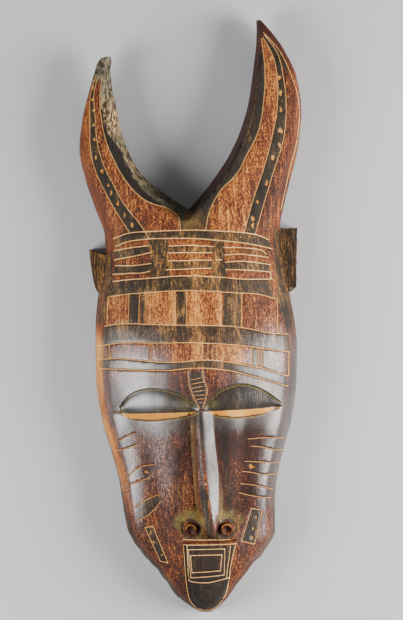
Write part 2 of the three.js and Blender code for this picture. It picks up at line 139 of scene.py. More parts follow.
def distanceTo(line, x, y, chunk=4000):
    # distance from each place to a line of points
    a, d = line[:-1], np.diff(line, axis=0)
    size = np.maximum((d ** 2).sum(axis=1), 1e-12)
    distance = np.empty(len(x))
    for i in range(0, len(x), chunk):
        px, py = x[i:i + chunk, None] - a[:, 0], y[i:i + chunk, None] - a[:, 1]
        t = np.clip((px * d[:, 0] + py * d[:, 1]) / size, 0, 1)
        squares = (px - t * d[:, 0]) ** 2 + (py - t * d[:, 1]) ** 2
        distance[i:i + chunk] = np.sqrt(squares.min(axis=1))
    return distance


def distanceToLoop(loop, x, y):
    return distanceTo(np.vstack([loop, loop[:1]]), x, y)


def spaced(points, step):
    # length along a line at its own points, and at even steps
    along = np.concatenate([[0], np.cumsum(np.hypot(*np.diff(points, axis=0).T))])
    return along, np.linspace(0, along[-1], max(2, int(round(along[-1] / step)) + 1))


def resample(points, step):
    points = np.asarray(points, float)
    along, at = spaced(points, step)
    return np.column_stack([np.interp(at, along, points[:, 0]), np.interp(at, along, points[:, 1])])


def smoothLine(points, step):
    # a flowing line through a few points of the plan
    points = np.asarray(points, float)
    if len(points) == 2:
        return resample(points, step)
    along, at = spaced(points, step)
    tangents = np.gradient(points, along, axis=0)
    i = np.clip(np.searchsorted(along, at) - 1, 0, len(points) - 2)
    span = (along[i + 1] - along[i])[:, None]
    t = ((at - along[i])[:, None]) / span
    return ((1 - t) ** 2 * (1 + 2 * t) * points[i] + t ** 2 * (3 - 2 * t) * points[i + 1]
            + (t * (1 - t) ** 2 * tangents[i] - t ** 2 * (1 - t) * tangents[i + 1]) * span)


def leftward(direction):
    # each direction at unit length, turned to its left
    direction = direction / np.maximum(np.hypot(*direction.T), 1e-9)[:, None]
    return np.column_stack([-direction[:, 1], direction[:, 0]])


def inside(shape, x, y):
    # whether each place is inside a closed shape of points
    within = np.zeros(len(x), bool)
    for (ax, ay), (bx, by) in zip(shape, np.roll(shape, -1, axis=0)):
        if ay != by:
            crosses = ((ay > y) != (by > y)) & (x < (bx - ax) * (y - ay) / (by - ay) + ax)
            within ^= crosses
    return within


# The blank: outline and front
def onFace(points):
    return [(along * length, out * halfFace) for along, out in points]


def onHorn(points, hornLength):
    return [(length + along * hornLength, out * halfSpread) for along, out in points]


chinShare = blank["chinWidth"] / blank["faceWidth"]
leftEdge = smoothCurve(
    onFace([(0, -chinShare), (0.027, -0.229), (0.056, -0.333), (0.107, -0.464), (0.133, -0.559),
            (0.209, -0.745), (0.247, -0.774), (0.335, -0.814), (0.41, -0.881), (0.486, -0.958),
            (0.586, -1), (0.7, -0.99), (0.8, -0.945), (0.884, -0.854), (0.94, -0.857)])
    + onHorn([(0.02, -0.846), (0.216, -0.925), (0.409, -0.968), (0.6, -0.93), (0.835, -0.834),
              (0.907, -0.801), (0.97, -0.763)], horns["leftLength"])
    + [(leftTip, leftTipX - horns["brokenTipWidth"] / 3)])
rightEdge = smoothCurve(
    onFace([(0, chinShare), (0.027, 0.207), (0.051, 0.271), (0.099, 0.428), (0.147, 0.603),
            (0.193, 0.71), (0.27, 0.725), (0.319, 0.751), (0.393, 0.828), (0.467, 0.919),
            (0.565, 0.986), (0.665, 1.006), (0.765, 0.962), (0.86, 0.899), (0.93, 0.875)])
    + onHorn([(0.003, 0.847), (0.223, 0.954), (0.341, 1.001), (0.52, 1.034), (0.69, 1), (0.8, 0.927),
              (0.91, 0.817)], horns["rightLength"])
    + [(rightTip, rightTipX + horns["sharpTipWidth"] / 2)])
leftInner = smoothCurve(
    [(length, forkX)]
    + onHorn([(0.08, -0.172), (0.167, -0.325), (0.254, -0.437), (0.382, -0.526), (0.521, -0.587),
              (0.683, -0.621), (0.843, -0.655)], horns["leftLength"])
    + [(leftTip, leftTipX + horns["brokenTipWidth"] * 2 / 3)])
rightInner = smoothCurve(
    [(length, forkX)]
    + onHorn([(0.069, 0.099), (0.169, 0.238), (0.292, 0.379), (0.433, 0.493), (0.575, 0.568),
              (0.748, 0.62), (0.907, 0.658)], horns["rightLength"])
    + [(rightTip, rightTipX - horns["sharpTipWidth"] / 2)])
axis = smoothCurve([(0, 0), (0.1 * length, 0.048 * halfFace), (0.21 * length, 0.083 * halfFace),
                    (0.5 * length, 0.043 * halfFace), (0.66 * length, 0.043 * halfFace), (length, forkX)])
crownLine = smoothCurve(
    [(along * length, height * blank["foreheadHeight"]) for along, height in
     [(0, 0.29), (0.03, 0.47), (0.09, 0.67), (0.22, 0.83), (0.385, 0.93), (0.527, 1), (0.62, 1),
      (0.71, 0.965), (0.83, 0.9), (0.93, 0.81), (1, 0.76)]]
    + [(rightTip, blank["foreheadHeight"] - horns["frontDrop"])])
fallLine = smoothCurve(
    [(along * length, drop * blank["sideDrop"]) for along, drop in
     [(0, 0.4), (0.2, 0.75), (0.5, 1), (0.75, 0.9), (1, 0.4)]] + [(rightTip, 0.27 * blank["sideDrop"])])


def across(x, y):
    middle = (leftEdge(y) + rightEdge(y)) / 2
    return (x - middle) / ((rightEdge(y) - leftEdge(y)) / 2)


def crown(x, y):
    return crownLine(y) - fallLine(y) * np.minimum(np.abs(across(x, y)), 1) ** 2.2


def trace(edge, start, end):
    y = np.linspace(start, end, int(abs(end - start)) + 1)
    return np.column_stack([edge(y), y])


def roughen(points):
    # knife chips along the jaw and at the broken tip, and a faint waver elsewhere
    x, y = points.T
    broken = ease(leftTip - 16, leftTip - 2, y) * (x < forkX)
    depth = knife["chipDepth"] * np.maximum(0.75 * (1 - ease(50, 68, y)), broken) + 0.12
    size = knife["chipSize"]
    return points + np.column_stack([depth * wander(x, y, size, 1.5), depth * wander(x, y, size, 7.5)])


step = mesh["outlineStep"]
rightSide = roughen(resample(trace(rightEdge, 0, rightTip), step))
rightInside = roughen(resample(trace(rightInner, rightTip, length), step))
leftInside = roughen(resample(trace(leftInner, length, leftTip), step))[1:]
leftSide = roughen(resample(trace(leftEdge, leftTip, 0), step))
brokenEnd = roughen(resample([leftInside[-1], leftSide[0]], step))[1:-1]
chinEnd = roughen(resample([leftSide[-1], rightSide[0]], step))[1:-1]
outerLine = np.vstack([leftInside[-1:], brokenEnd, leftSide, chinEnd, rightSide, rightInside[:1]])
innerLine = np.vstack([rightInside, leftInside])

# Ears: the stubs that stand out from the head, listed from the chin side up
rightEar = [(66.2, 216.2), (70.2, 219.4), (70.6, 228.0), (71.0, 239.3), (72.4, 259.1), (61.0, 259.1)]
leftEar = [(-64.9, 219.9), (-66.9, 225.0), (-68.4, 234.5), (-69.7, 250.5), (-61.8, 247.1), (-58.3, 246.2)]


def withEar(side, ear):
    # the side's line with the ear's outline in place of the stretch behind it
    low, high = ear[0][1], ear[-1][1]
    upward = side if side[0][1] < side[-1][1] else side[::-1]
    below, above = upward[upward[:, 1] < low], upward[upward[:, 1] > high]
    around = resample(ear, step)
    around = around + 0.35 * np.column_stack([wander(*around.T, 4, 3.5), wander(*around.T, 4, 4.5)])
    joined = np.vstack([below, around, above])
    return joined if upward is side else joined[::-1]


outline = np.vstack([withEar(rightSide, rightEar), rightInside, leftInside, brokenEnd,
                     withEar(leftSide, leftEar), chinEnd])
earShapes = [
    np.vstack([rightEar, [(55, 259.1), (55, 226)]]),
    np.vstack([leftEar, [(-54, 245), (-54, 227)]]),
]


def backLift(x, y):
    onLeft = x < forkX
    tip = np.where(onLeft, leftTip, rightTip)
    lift = np.where(onLeft, horns["leftLift"], horns["rightLift"])
    return lift * np.clip((y - liftStart) / (tip - liftStart), 0, 1) ** 1.4


def edgeTop(x, y):
    # upper limit of the upright edge all round
    blend = ease(length - horns["blend"], length + horns["blend"], y)
    return mix(blank["edgeHeight"], backLift(x, y) + horns["edgeHeight"], blend)


def sides(x, y):
    turn = blank["shoulderHeight"] - blank["edgeHeight"]
    outer = edgeTop(x, y) + turn * (distanceTo(outerLine, x, y) / blank["shoulderInset"]) ** 0.55
    bevel = mix(horns["leftBevel"], horns["rightBevel"],
                ease(forkX - horns["leftBevel"], forkX + horns["leftBevel"], x))
    tip = np.where(x < forkX, leftTip, rightTip)
    narrowing = mix(1, 0.45, np.clip((y - length) / (tip - length), 0, 1))
    edge = backLift(x, y) + horns["edgeHeight"]
    inner = edge + (crownLine(y) - edge) * distanceTo(innerLine, x, y) / (bevel * narrowing)
    return np.where(y < length - horns["forkReach"], outer, softMin(outer, inner, horns["bevelRound"]))


# Features of the face
eyes = [
    {"outer": -0.757, "peak": -0.449, "inner": 0.009, "rise": 15.4, "outerRound": 0.5, "innerRound": 0.75},
    {"outer": 0.843, "peak": 0.41, "inner": 0.067, "rise": 16.0, "outerRound": 1.12, "innerRound": 0.75},
]
eyeRise = max(eye["rise"] for eye in eyes)
eyeLine = features["eyeLine"]
noseFoot = eyeLine - features["noseLength"]
nostrils = [(share * halfFace, noseFoot + lift) for share, lift in ((-0.116, 2.2), (0.226, 1.4))]
wings = (0.052 * halfFace, noseFoot + features["wingHeight"] / 6)


def lidArch(x):
    x = np.asarray(x, float)
    arch = np.zeros(x.shape)
    for eye in eyes:
        for corner, roundness in (("outer", "outerRound"), ("inner", "innerRound")):
            reach = (eye[corner] - eye["peak"]) * halfFace
            share = (x - eye["peak"] * halfFace) / reach
            there = (share >= 0) & (share < 1)
            arch[there] = (eye["rise"] * np.maximum(1 - share ** 2, 0) ** eye[roundness])[there]
    return arch


def slitDepth(x):
    return features["eyeSlit"] * np.clip(lidArch(x) / eyeRise, 0, 1) ** 0.8


recessLine = smoothCurve([(0, 0), (0.06 * length, 0.1), (0.15 * length, 0.6), (0.25 * length, 1),
                          (eyeLine, 1)])


def cheekFade(x, y):
    return 1 - ease(0.45, 0.92, np.abs(across(x, y)))


def facePlane(x, y):
    f = features
    arch = lidArch(x)
    brow, slit = eyeLine + arch, eyeLine - slitDepth(x)
    recess = f["faceRecess"] * recessLine(y) * cheekFade(x, y)
    corner = ease(0, 0.4, np.clip(arch / eyeRise, 0, 1))
    browEdge = mix(-f["browStep"] * corner, 0, np.clip((y - brow) / f["bevel"], 0, 1))
    down = np.clip((brow - y) / np.maximum(arch, 1e-6), 0, 1)
    lid = (mix(-f["browStep"], -f["lidEdgeStep"], down) + f["lidSwell"] * 4 * down * (1 - down)) * corner
    cut = np.clip((eyeLine - y) / np.maximum(slitDepth(x), 1e-6), 0, 1)
    facet = mix(-f["lidEdgeStep"] * corner, -recess, cut)
    plane = np.where(y >= brow, browEdge, np.where(y >= eyeLine, lid, facet))
    return np.where(y <= slit, -recess, np.where(y >= brow + f["bevel"], 0.0, plane))


def noseSide(y):
    # half width of the nose, drawn in to a point at its foot
    f = features
    rounding = 1 - (1 - np.clip((y - noseFoot + 2) / f["footRound"], 0, 1)) ** 2
    half = mix(f["noseFootHalf"], f["noseRootHalf"], np.clip((y - noseFoot) / f["noseLength"], 0, 1))
    return half * mix(0.2, 1, rounding)


def ridgeShift(y):
    # how far the ridge stands left of the middle line; it crosses over near the foot
    f = features
    return mix(-f["footShift"], f["ridgeShift"], np.clip((y - noseFoot) / f["shiftReach"], 0, 1))


def facetShare(y):
    # part of the nose's right side that the bright facet takes
    f = features
    up = np.clip((y - noseFoot) / f["facetReach"], 0, 1)
    return mix(f["footFacetShare"], f["rightFacetShare"], up)


def nostrilHeight(x, y, ground):
    # two rounded wings, each with a low crest round a pit that opens towards the mouth
    f = features
    reach = np.hypot((x - wings[0]) / (f["wingSpan"] / 2), (y - wings[1]) / (f["wingHeight"] / 2))
    rise = f["wingRise"]
    height = np.maximum(ground, ground - 3 + (rise + 3) * np.sqrt(np.maximum(1 - reach ** 2, 0)))
    for nx, ny in nostrils:
        away = np.hypot(x - nx, y - ny) / f["nostrilRadius"]
        ball = (rise + f["nostrilRise"] + 2) * np.sqrt(np.maximum(1 - away ** 4, 0))
        crest = ground - 2 + np.minimum(ball, f["crestRise"] + 2)
        within = np.hypot(x - nx, y - ny + f["pitDrop"]) / f["pitRadius"]
        pit = f["pitDepth"] * np.sqrt(np.maximum(1 - within ** 2, 0))
        height = np.where(away < 1, np.maximum(height, crest) - pit, height)
    return height


def noseHeight(x, y, ground):
    # a ridge between a narrow left facet and a broad right one, with a steep flank beside each
    f = features
    up = np.clip((y - noseFoot) / f["noseLength"], 0, 1)
    ridge = mix(f["noseTip"], f["noseRoot"], up)
    aside = x - axis(y) + ridgeShift(y)
    onLeft = aside < 0
    half = np.where(onLeft, f["ridgeTop"], 0)
    side = noseSide(y) + np.where(onLeft, -1, 1) * ridgeShift(y)
    share = np.maximum(np.abs(aside) - half, 0) / np.maximum(side - half, 0.1)
    under = np.clip((noseFoot - y) / f["noseUndercut"], 0, 1)
    facetEnd = np.where(onLeft, f["leftFacetShare"], facetShare(y))
    fall = np.where(onLeft, 1, f["rightFacetFall"]) * f["facetDrop"]
    facet = ridge - fall * np.minimum(share / facetEnd, 1) ** 1.2
    flank = np.clip((share - facetEnd) / (1 - facetEnd), 0, 1)
    wedge = mix(facet, ground - 1, flank) - under * (ridge - ground + 2)
    height = nostrilHeight(x, y, ground)
    inWedge = (share < 1) & (under < 1) & (y <= eyeLine + 2)
    return np.where(inWedge, np.maximum(height, wedge), height)


plateHalf = smoothCurve([
    (mix(features["plateFoot"], features["plateTop"], along), out * features["plateWidth"] / 2)
    for along, out in [(0, 0.02), (0.07, 0.42), (0.2, 0.62), (0.42, 0.76), (0.7, 0.93), (1, 1)]])


def mouthPlate(x, y):
    f = features
    top = f["plateTop"] + f["bevel"] - y
    within = np.minimum(plateHalf(y) - np.abs(x - axis(y)), top)
    return np.where(y < f["plateFoot"], 0, f["plateRise"] * np.clip(within / f["bevel"], 0, 1))


def isOn(shape, x, y, margin=0.6):
    # inside a shape or just over its edge
    return inside(shape, x, y) | (distanceToLoop(shape, x, y) < margin)


def front(x, y):
    ground = crown(x, y) + facePlane(x, y)
    head = softMin(noseHeight(x, y, ground) + mouthPlate(x, y), sides(x, y), blank["shoulderRound"])
    head = np.where((np.abs(across(x, y)) > 1) & (y < length), edgeTop(x, y), head)
    for shape in earShapes:
        head = np.where(isOn(shape, x, y), np.maximum(head, features["earHeight"]), head)
    return head


print("outline:", len(outline), "points")

# Knife lines, each from left to right or from the top down, and the chin line round its plate
foreheadCuts = {
    "bandTop": [(-51.8, 256), (-41.9, 259), (-26.4, 259.4), (6.2, 258.8), (17.3, 257.9), (34.1, 256.3),
                (44, 254.4), (52, 250.9)],
    "bandFoot": [(-50.4, 250.7), (-42.9, 253.3), (-35.1, 254.3), (-13.9, 254.2), (5.9, 253.1), (14.8, 252),
                 (34.8, 249.3), (45.9, 247), (53.7, 245)],
    "left1": [(-51.5, 247.9), (-39.6, 249.3), (-28, 250.1)],
    "left2": [(-51.7, 241.9), (-42.5, 243), (-26.4, 245.4)],
    "left3": [(-51.4, 237.9), (-40.1, 237.3), (-27.2, 238.2)],
    "left4": [(-53.4, 232.1), (-40.2, 232.3), (-31.7, 232.3), (-28.2, 233.2)],
    "middle1": [(-14.8, 249.2), (-3.5, 249.1), (14.6, 247.6)],
    "middle2": [(-15.5, 244.7), (-1.1, 244.1), (13.6, 243.6)],
    "middle3": [(-15.7, 239.2), (-1.3, 238.9), (12.9, 238.6)],
    "middle4": [(-17, 233.3), (-1.5, 233.4), (13.1, 233.3)],
    "dash": [(15.9, 238.6), (19.9, 238.5)],
    "right1": [(21.9, 246.6), (34.6, 246.1), (43.6, 244.7), (48.1, 243.3), (49.8, 241.4)],
    "right2": [(22.2, 241.7), (32.2, 241.9), (43.4, 240.5), (51.3, 239.2)],
    "right3": [(22.2, 236.8), (34.2, 237.1), (41.4, 236.3), (52.2, 234.2)],
    "right4": [(22.6, 232), (34, 231.4), (52, 229.5)],
    "right4End": [(52, 229.5), (52.6, 225)],
    "blockFoot": [(-52.9, 227.4), (-42.5, 228.1), (-25.4, 228.4), (-10.6, 228.9), (-1.7, 228.8),
                  (20.4, 226.8), (35.9, 225.1), (53.2, 224.8)],
    "panelTop": [(-55.6, 217.5), (-42.9, 218.6), (-25.8, 219), (-11, 219.3), (-2.1, 219.1), (11.2, 218.1),
                 (28.9, 216.3), (42.3, 215.1), (54.8, 211.5)],
    "panelFoot": [(-60, 197.9), (-49.6, 198.9), (-29.4, 197.8), (-3, 196.1), (20, 194.8), (33.2, 192.9),
                  (49.9, 188.9), (62.3, 187.5)],
    "rowTop": [(-65.9, 184.6), (-53.5, 186.1), (-29.8, 185.6), (3.1, 184.4), (22.8, 182.5), (36, 180.6),
               (52.8, 177.4), (63.2, 175.4)],
    "rowFoot": [(-68.1, 175.6), (-50.4, 176), (-30.3, 173.5), (-10.5, 172.4), (6, 173.1), (19.1, 171.5),
                (32.2, 168.6), (45.5, 165.2), (61.1, 159.4)],
    "browLine": [(-66.3, 169.7), (-38.1, 168.1), (-14.7, 167.3), (-5, 168), (14.2, 166.8), (29.3, 163.4),
                 (39.2, 160.2), (60.8, 152.7)],
}
panelLines = ("panelTop", "panelFoot", "rowTop", "rowFoot", "browLine")
# upright cuts between two of those lines: place at the upper line, place at the lower one, width
panelPosts = [
    (-57.2, -58.6, 1.3), (-42.7, -44.1, 1.3), (-35.6, -37.1, 1.3), (-31.9, -32.7, 1), (-12, -12.2, 2),
    (-4.7, -4.9, 1.3), (18.3, 17.4, 2.2), (32.2, 31.2, 1.6), (55.8, 55.3, 1.4),
]
rowPosts = [
    (-65.5, -66.3, 1.3), (-57.3, -57.3, 1.2), (-30.5, -31, 1.1), (-28.5, -29, 1), (4.8, 4.6, 1.4),
    (8.4, 7.9, 1.2), (11.7, 11.2, 1.2), (14.3, 13.8, 1.4), (37.7, 37.4, 1.2), (41, 40.4, 1.2),
    (42.7, 42.1, 1), (44.4, 43.8, 1), (62.4, 61.5, 1.4),
]
ladderCuts = {
    "ladderLeft": [(-5.4, 166.5), (-5, 157.8), (-2.9, 150.1), (1.3, 141.5)],
    "ladderRight": [(4.1, 166.1), (5, 159.7), (6.6, 153.3), (5.4, 147.3), (3.4, 141.4)],
}
ladderRungs = [((-3.2, 160.6), (3.3, 161.6)), ((-3.4, 157.6), (4.4, 158.8)), ((-3, 154.9), (3.9, 155.9)),
               ((-2.3, 152.3), (4.7, 153.1)), ((-1.7, 150.1), (5.3, 150.2)), ((-0.6, 147.5), (4.3, 147.8)),
               ((0.9, 145.1), (3.8, 145.4))]
cheekCuts = {
    "leftCheek1": [(-53.8, 120.7), (-49.5, 123.2), (-43.1, 125.6)],
    "leftCheek2": [(-56.8, 113.6), (-49.9, 115.4), (-41.7, 117.8)],
    "leftCheek3": [(-49.1, 96.8), (-43.4, 101.3), (-37.6, 103.6), (-31.2, 104.3)],
    "leftCheek4": [(-46.9, 91.8), (-40.1, 93.8), (-33.9, 96.4), (-31.8, 99)],
    "leftCheek5": [(-44.7, 76), (-38, 80.3), (-29.1, 83.9)],
    "leftCheek6": [(-43, 66.8), (-35, 71.4), (-27.6, 79.4)],
    "rightCheek1": [(32.7, 119), (40.5, 119.1), (50.6, 118.6), (61.5, 117)],
    "rightCheek2": [(34.9, 113.9), (41.6, 112.9), (48, 111), (54.1, 109.5), (58.5, 109.1)],
    "rightCheek3": [(29.8, 103.9), (41.2, 102.9), (52.5, 101.1), (56, 101)],
    "rightCheek4": [(28, 97.4), (33, 96.6), (36.2, 95.8), (40.5, 94.3), (46, 93.9), (53.6, 92.9)],
    "rightCheek5": [(26.5, 89), (33.8, 88), (41.9, 86), (48.5, 82.9)],
    "rightCheek6": [(25.5, 83), (32.1, 81), (40.2, 79.1), (46.5, 77.7)],
}
mouthCuts = {
    "lip": [(-13.6, 53.6), (2, 52.8), (18.4, 52.1)],
    "mouthTop": [(-13.1, 50.2), (22.3, 49.3)],
    "chinLine": [(-13.6, 50.1), (-13.2, 35.6), (-12.9, 25.5), (-12.1, 17.6), (-10.5, 10.2), (-7.2, 5.4),
                 (-0.8, 3.1), (5.2, 3.5), (10.3, 8.1), (13.5, 14), (15.7, 22.3), (17.6, 34.4), (21.1, 48.1)],
    "outerLeft": [(-11.1, 49.8), (-11, 25.5)],
    "outerFoot": [(-11, 25.5), (0, 24.2), (15.8, 26.3)],
    "outerRight": [(17.9, 48.4), (14.3, 26.1)],
}
mouthFrames = [
    [(-10.3, 47.1), (14.1, 46.5), (13, 28.7), (-9.4, 27.9)],
    [(-9, 43.1), (12, 42.7), (10.6, 31.8), (-8.5, 31.4)],
]
jawFrames = [
    [(-38.8, 62.1), (-33.4, 62.6), (-24.4, 37.6), (-29.7, 38.9)],
    [(33, 72), (40.3, 70.4), (34.1, 47.9), (25.7, 50.5)],
]
hornCuts = {
    "leftOuter": [(-59.2, 366.9), (-61.2, 361.6), (-63.8, 353.1), (-64.6, 337.5), (-65, 318), (-63.2, 305),
                  (-57.6, 290.6), (-51.6, 278.1), (-41.3, 260.3)],
    "leftMiddle": [(-58.4, 365.5), (-59.9, 360.1), (-61.4, 352.9), (-61, 337.2), (-60, 319.1),
                   (-56.7, 305.9), (-51, 293.4), (-45, 280.9), (-31, 260.4), (-28.2, 255.2)],
    "rightOuter": [(55.2, 388.8), (62.8, 377.5), (66.8, 357.3), (67.5, 340.9), (64.7, 318.3), (57.5, 297.7),
                   (51.2, 279.9), (43, 255.1)],
    "rightStrip": [(54.2, 386.9), (60, 374.8), (62.3, 357.3), (60.9, 336.5), (56.5, 318.4), (50.2, 297.9),
                   (43.2, 280.1), (35.3, 256.1)],
    "leftFace": [(-55.5, 364.2), (-56.6, 358), (-57.2, 352.6), (-56.6, 333.7), (-53.8, 320), (-48.5, 306.1),
                 (-40.1, 291.5), (-33.3, 283.5), (-26.3, 278.7), (-13.1, 273.9), (-8.7, 270.1),
                 (-6.4, 258.9)],
    "rightEdge": [(54.4, 390.7), (63.8, 379.5), (72, 360.8), (76.3, 341), (74.1, 318.6), (67.7, 296.2),
                  (61.5, 271.5)],
    "rightFace": [(52.8, 386.9), (54.2, 368.4), (52.7, 345.7), (47.7, 323.2), (38.9, 307.2), (33.1, 296.6),
                  (21.2, 285), (12.8, 270.5), (10, 258.9)],
}
faintCuts = {
    "rightScratch": [(49.8, 365.4), (46.9, 345), (43.6, 330.2), (37.2, 314.9)],
    "leftShoulder": [(-58.6, 131.5), (-56, 118.7), (-53.6, 111), (-50.6, 96.9), (-48.2, 89.7)],
    "noseBase": [(-5.7, 130.3), (-5.8, 113.6), (-5.1, 96.8), (-4.7, 83.3), (-4.1, 74.6)],
}


# small hollows picked out with the knife: place, half width, half height
def sized(places, wide, high):
    return [(x, y, wide, high) for x, y in places]


leftTipNotches = [(-61.6, 358), (-62.4, 350), (-62.1, 342.8), (-62.1, 332.7), (-62.1, 323)]
leftNotches = [(-61.3, 310.7), (-57.5, 301.2), (-53.6, 291.7), (-51.9, 286.4), (-48, 279.5), (-43.8, 271.9),
               (-38.9, 264.3)]
rightNotches = [(58.6, 373), (63.3, 359.6), (64.2, 349.1), (63.7, 338.2), (62.9, 324.2), (61.7, 313.8),
                (56.8, 305.9), (52.1, 288.9), (45.7, 276.4), (41.6, 265.4), (41.8, 260.5)]
cheekNotches = [(-36.4, 99.8, 1.3, 1.3), (34.5, 100, 2.4, 1.5)]
jawNotches = [(-35.5, 58), (-33, 52), (-28.7, 43.5), (36, 66.5), (34, 58.5), (32.2, 53)]
notches = (sized(leftTipNotches, 0.8, 1.4) + sized(leftNotches, 1.0, 1.9) + sized(rightNotches, 1.15, 2.1)
           + cheekNotches + sized(jawNotches, 0.7, 1.3))


def heightAt(name, x):
    # where a forehead line is at a place across
    points = smoothLine(foreheadCuts[name], 1)
    return float(np.interp(x, points[:, 0], points[:, 1]))


def knifeLines():
    # every cut as (points, width, how clean it is)
    bands = {name: points for name, points in foreheadCuts.items() if name in panelLines}
    blocks = {name: points for name, points in foreheadCuts.items() if name not in panelLines}
    lines = []
    for group, width, clean in ((blocks, 1.2, 1), (bands, 1.25, 0.86), (cheekCuts, 1.0, 0.82),
                                (mouthCuts, 1.1, 0.9), (hornCuts, 1.2, 0.82), (faintCuts, 1.1, 0.52),
                                (ladderCuts, 1.2, 0.8)):
        lines += [(smoothLine(points, mesh["cutStep"]), width, clean) for points in group.values()]
    lines += [(resample(rung, mesh["cutStep"]), 0.9, 0.8) for rung in ladderRungs]
    for posts, upper, lower in ((panelPosts, "panelTop", "panelFoot"), (rowPosts, "rowTop", "rowFoot")):
        for top, foot, width in posts:
            ends = [(top, heightAt(upper, top)), (foot, heightAt(lower, foot))]
            lines.append((resample(ends, mesh["cutStep"]), 0.9 * width, 0.8))
    for corners in mouthFrames + jawFrames:
        for pair in zip(corners, corners[1:] + corners[:1]):
            lines.append((resample(pair, mesh["cutStep"]), 1.05, 0.9))
    return [(waver(points), width, clean) for points, width, clean in lines]


def waver(points):
    return besideLine(points, knife["wobble"] * wander(*points.T, knife["wobbleLength"], 2.5)[:, None])


def besideLine(points, offset):
    return points + offset * leftward(np.gradient(points, axis=0))


cuts = knifeLines()
cutPoints = np.vstack([points for points, width, clean in cuts])
cutLengths = [len(points) for points, width, clean in cuts]
cutWidths = np.repeat([width for points, width, clean in cuts], cutLengths)
cutCleanness = np.repeat([clean for points, width, clean in cuts], cutLengths)
cutEnds = np.cumsum(cutLengths)[:-1] - 1


def nearestCut(x, y, chunk=2000):
    # distance to the nearest cut as a share of its half width, and how clean that cut is
    starts = np.setdiff1d(np.arange(len(cutPoints) - 1), cutEnds)
    a, d = cutPoints[starts], cutPoints[starts + 1] - cutPoints[starts]
    half = cutWidths[starts] / 2
    size = np.maximum((d ** 2).sum(axis=1), 1e-12)
    share, clean = np.empty(len(x)), np.empty(len(x))
    for i in range(0, len(x), chunk):
        px, py = x[i:i + chunk, None] - a[:, 0], y[i:i + chunk, None] - a[:, 1]
        t = np.clip((px * d[:, 0] + py * d[:, 1]) / size, 0, 1)
        away = np.sqrt((px - t * d[:, 0]) ** 2 + (py - t * d[:, 1]) ** 2) / half
        share[i:i + chunk] = away.min(axis=1)
        clean[i:i + chunk] = cutCleanness[starts[away.argmin(axis=1)]]
    return share, clean


def notchAt(x, y):
    # 1 in the middle of each small hollow, 0 at its edge
    x, y = x + wander(x, y, 2.3, 9.5), y + wander(x, y, 2.3, 10.5)
    value = np.zeros(len(x))
    for nx, ny, wide, high in notches:
        value = np.maximum(value, 1 - np.hypot((x - nx) / wide, (y - ny) / high) / 1.3)
    return np.clip(value, 0, 1)


# Points of the mesh: rows along every edge and cut, and an even spread between them
def oval(cx, cy, rx, ry):
    angle = np.linspace(0, 2 * math.pi, 60)
    return np.column_stack([cx + rx * np.cos(angle), cy + ry * np.sin(angle)])


def featureRows():
    f = features
    rows = []
    for eye in eyes:
        low, high = sorted((eye["outer"] * halfFace, eye["inner"] * halfFace))
        x = np.linspace(low, high, 140)
        arch = lidArch(x)
        rows += [np.column_stack([x, eyeLine + arch + lift]) for lift in (0, 0.6, f["bevel"])]
        for lift in (-0.55, 0, 0.55):
            rows += [np.column_stack([x, np.full(len(x), eyeLine) + lift]),
                     np.column_stack([x, eyeLine - slitDepth(x) + lift])]
    y = np.linspace(noseFoot, eyeLine, 100)
    for side in (-1, 1):
        ridge = axis(y) - ridgeShift(y) - (0 if side > 0 else f["ridgeTop"])
        edge = axis(y) + side * noseSide(y)
        facetEnd = f["leftFacetShare"] if side < 0 else facetShare(y)
        rows += [np.column_stack([mix(ridge, edge, share), y]) for share in (0, facetEnd, 1)]
        plateY = np.linspace(f["plateFoot"], f["plateTop"], 60)
        rows += [np.column_stack([axis(plateY) + side * (plateHalf(plateY) - inset), plateY])
                 for inset in (0, f["bevel"])]
    for level in (f["plateTop"], f["plateTop"] + f["bevel"]):
        reach = plateHalf(f["plateTop"])
        rows.append(np.array([(axis(level) - reach, level), (axis(level) + reach, level)], float))
    for nx, ny in nostrils:
        rows += [oval(nx, ny, share * f["nostrilRadius"], share * f["nostrilRadius"])
                 for share in (1.02, 0.97, 0.75)]
        rows += [oval(nx, ny - f["pitDrop"], share * f["pitRadius"], share * f["pitRadius"])
                 for share in (1.0, 0.88)]
    for nx, ny, wide, high in notches:
        rows += [oval(nx, ny, share * wide, share * high) for share in (1.3, 0.85, 0.4)]
    rows.append(oval(*wings, 0.93 * f["wingSpan"] / 2, 0.93 * f["wingHeight"] / 2))
    return rows


def rings(loop, insets):
    # rows that follow the outline a little way inside it
    rows = []
    inward = leftward(np.roll(loop, -1, axis=0) - np.roll(loop, 1, axis=0))
    for inset in insets:
        points = loop + inset * inward
        keep = (distanceToLoop(loop, *points.T) > 0.9 * inset) & inside(loop, *points.T)
        rows.append(points[keep])
    return rows


def evenSpread(loop, spacing):
    low, high = loop.min(axis=0), loop.max(axis=0)
    rise = spacing * math.sqrt(3) / 2
    points = []
    for j, y in enumerate(np.arange(low[1], high[1], rise)):
        x = np.arange(low[0] + (j % 2) * spacing / 2, high[0], spacing)
        points.append(np.column_stack([x, np.full(len(x), y)]))
    points = np.vstack(points)
    shift = 0.18 * spacing
    points += shift * np.column_stack([wander(*points.T, 1.7, 11.5), wander(*points.T, 1.7, 12.5)])
    return points[inside(loop, *points.T)]


def thinOut(groups, loop):
    # keeps points apart: each group has its own least gap to the points before it
    cell = 1.0
    taken = {}
    for x, y in loop:
        taken.setdefault((int(x // cell), int(y // cell)), []).append((x, y))
    kept = []
    for points, gap in groups:
        for x, y in points:
            i, j = int(x // cell), int(y // cell)
            near = (p for a in (i - 1, i, i + 1) for b in (j - 1, j, j + 1) for p in taken.get((a, b), ()))
            if all((x - p[0]) ** 2 + (y - p[1]) ** 2 >= gap * gap for p in near):
                kept.append((x, y))
                taken.setdefault((i, j), []).append((x, y))
    return np.array(kept)


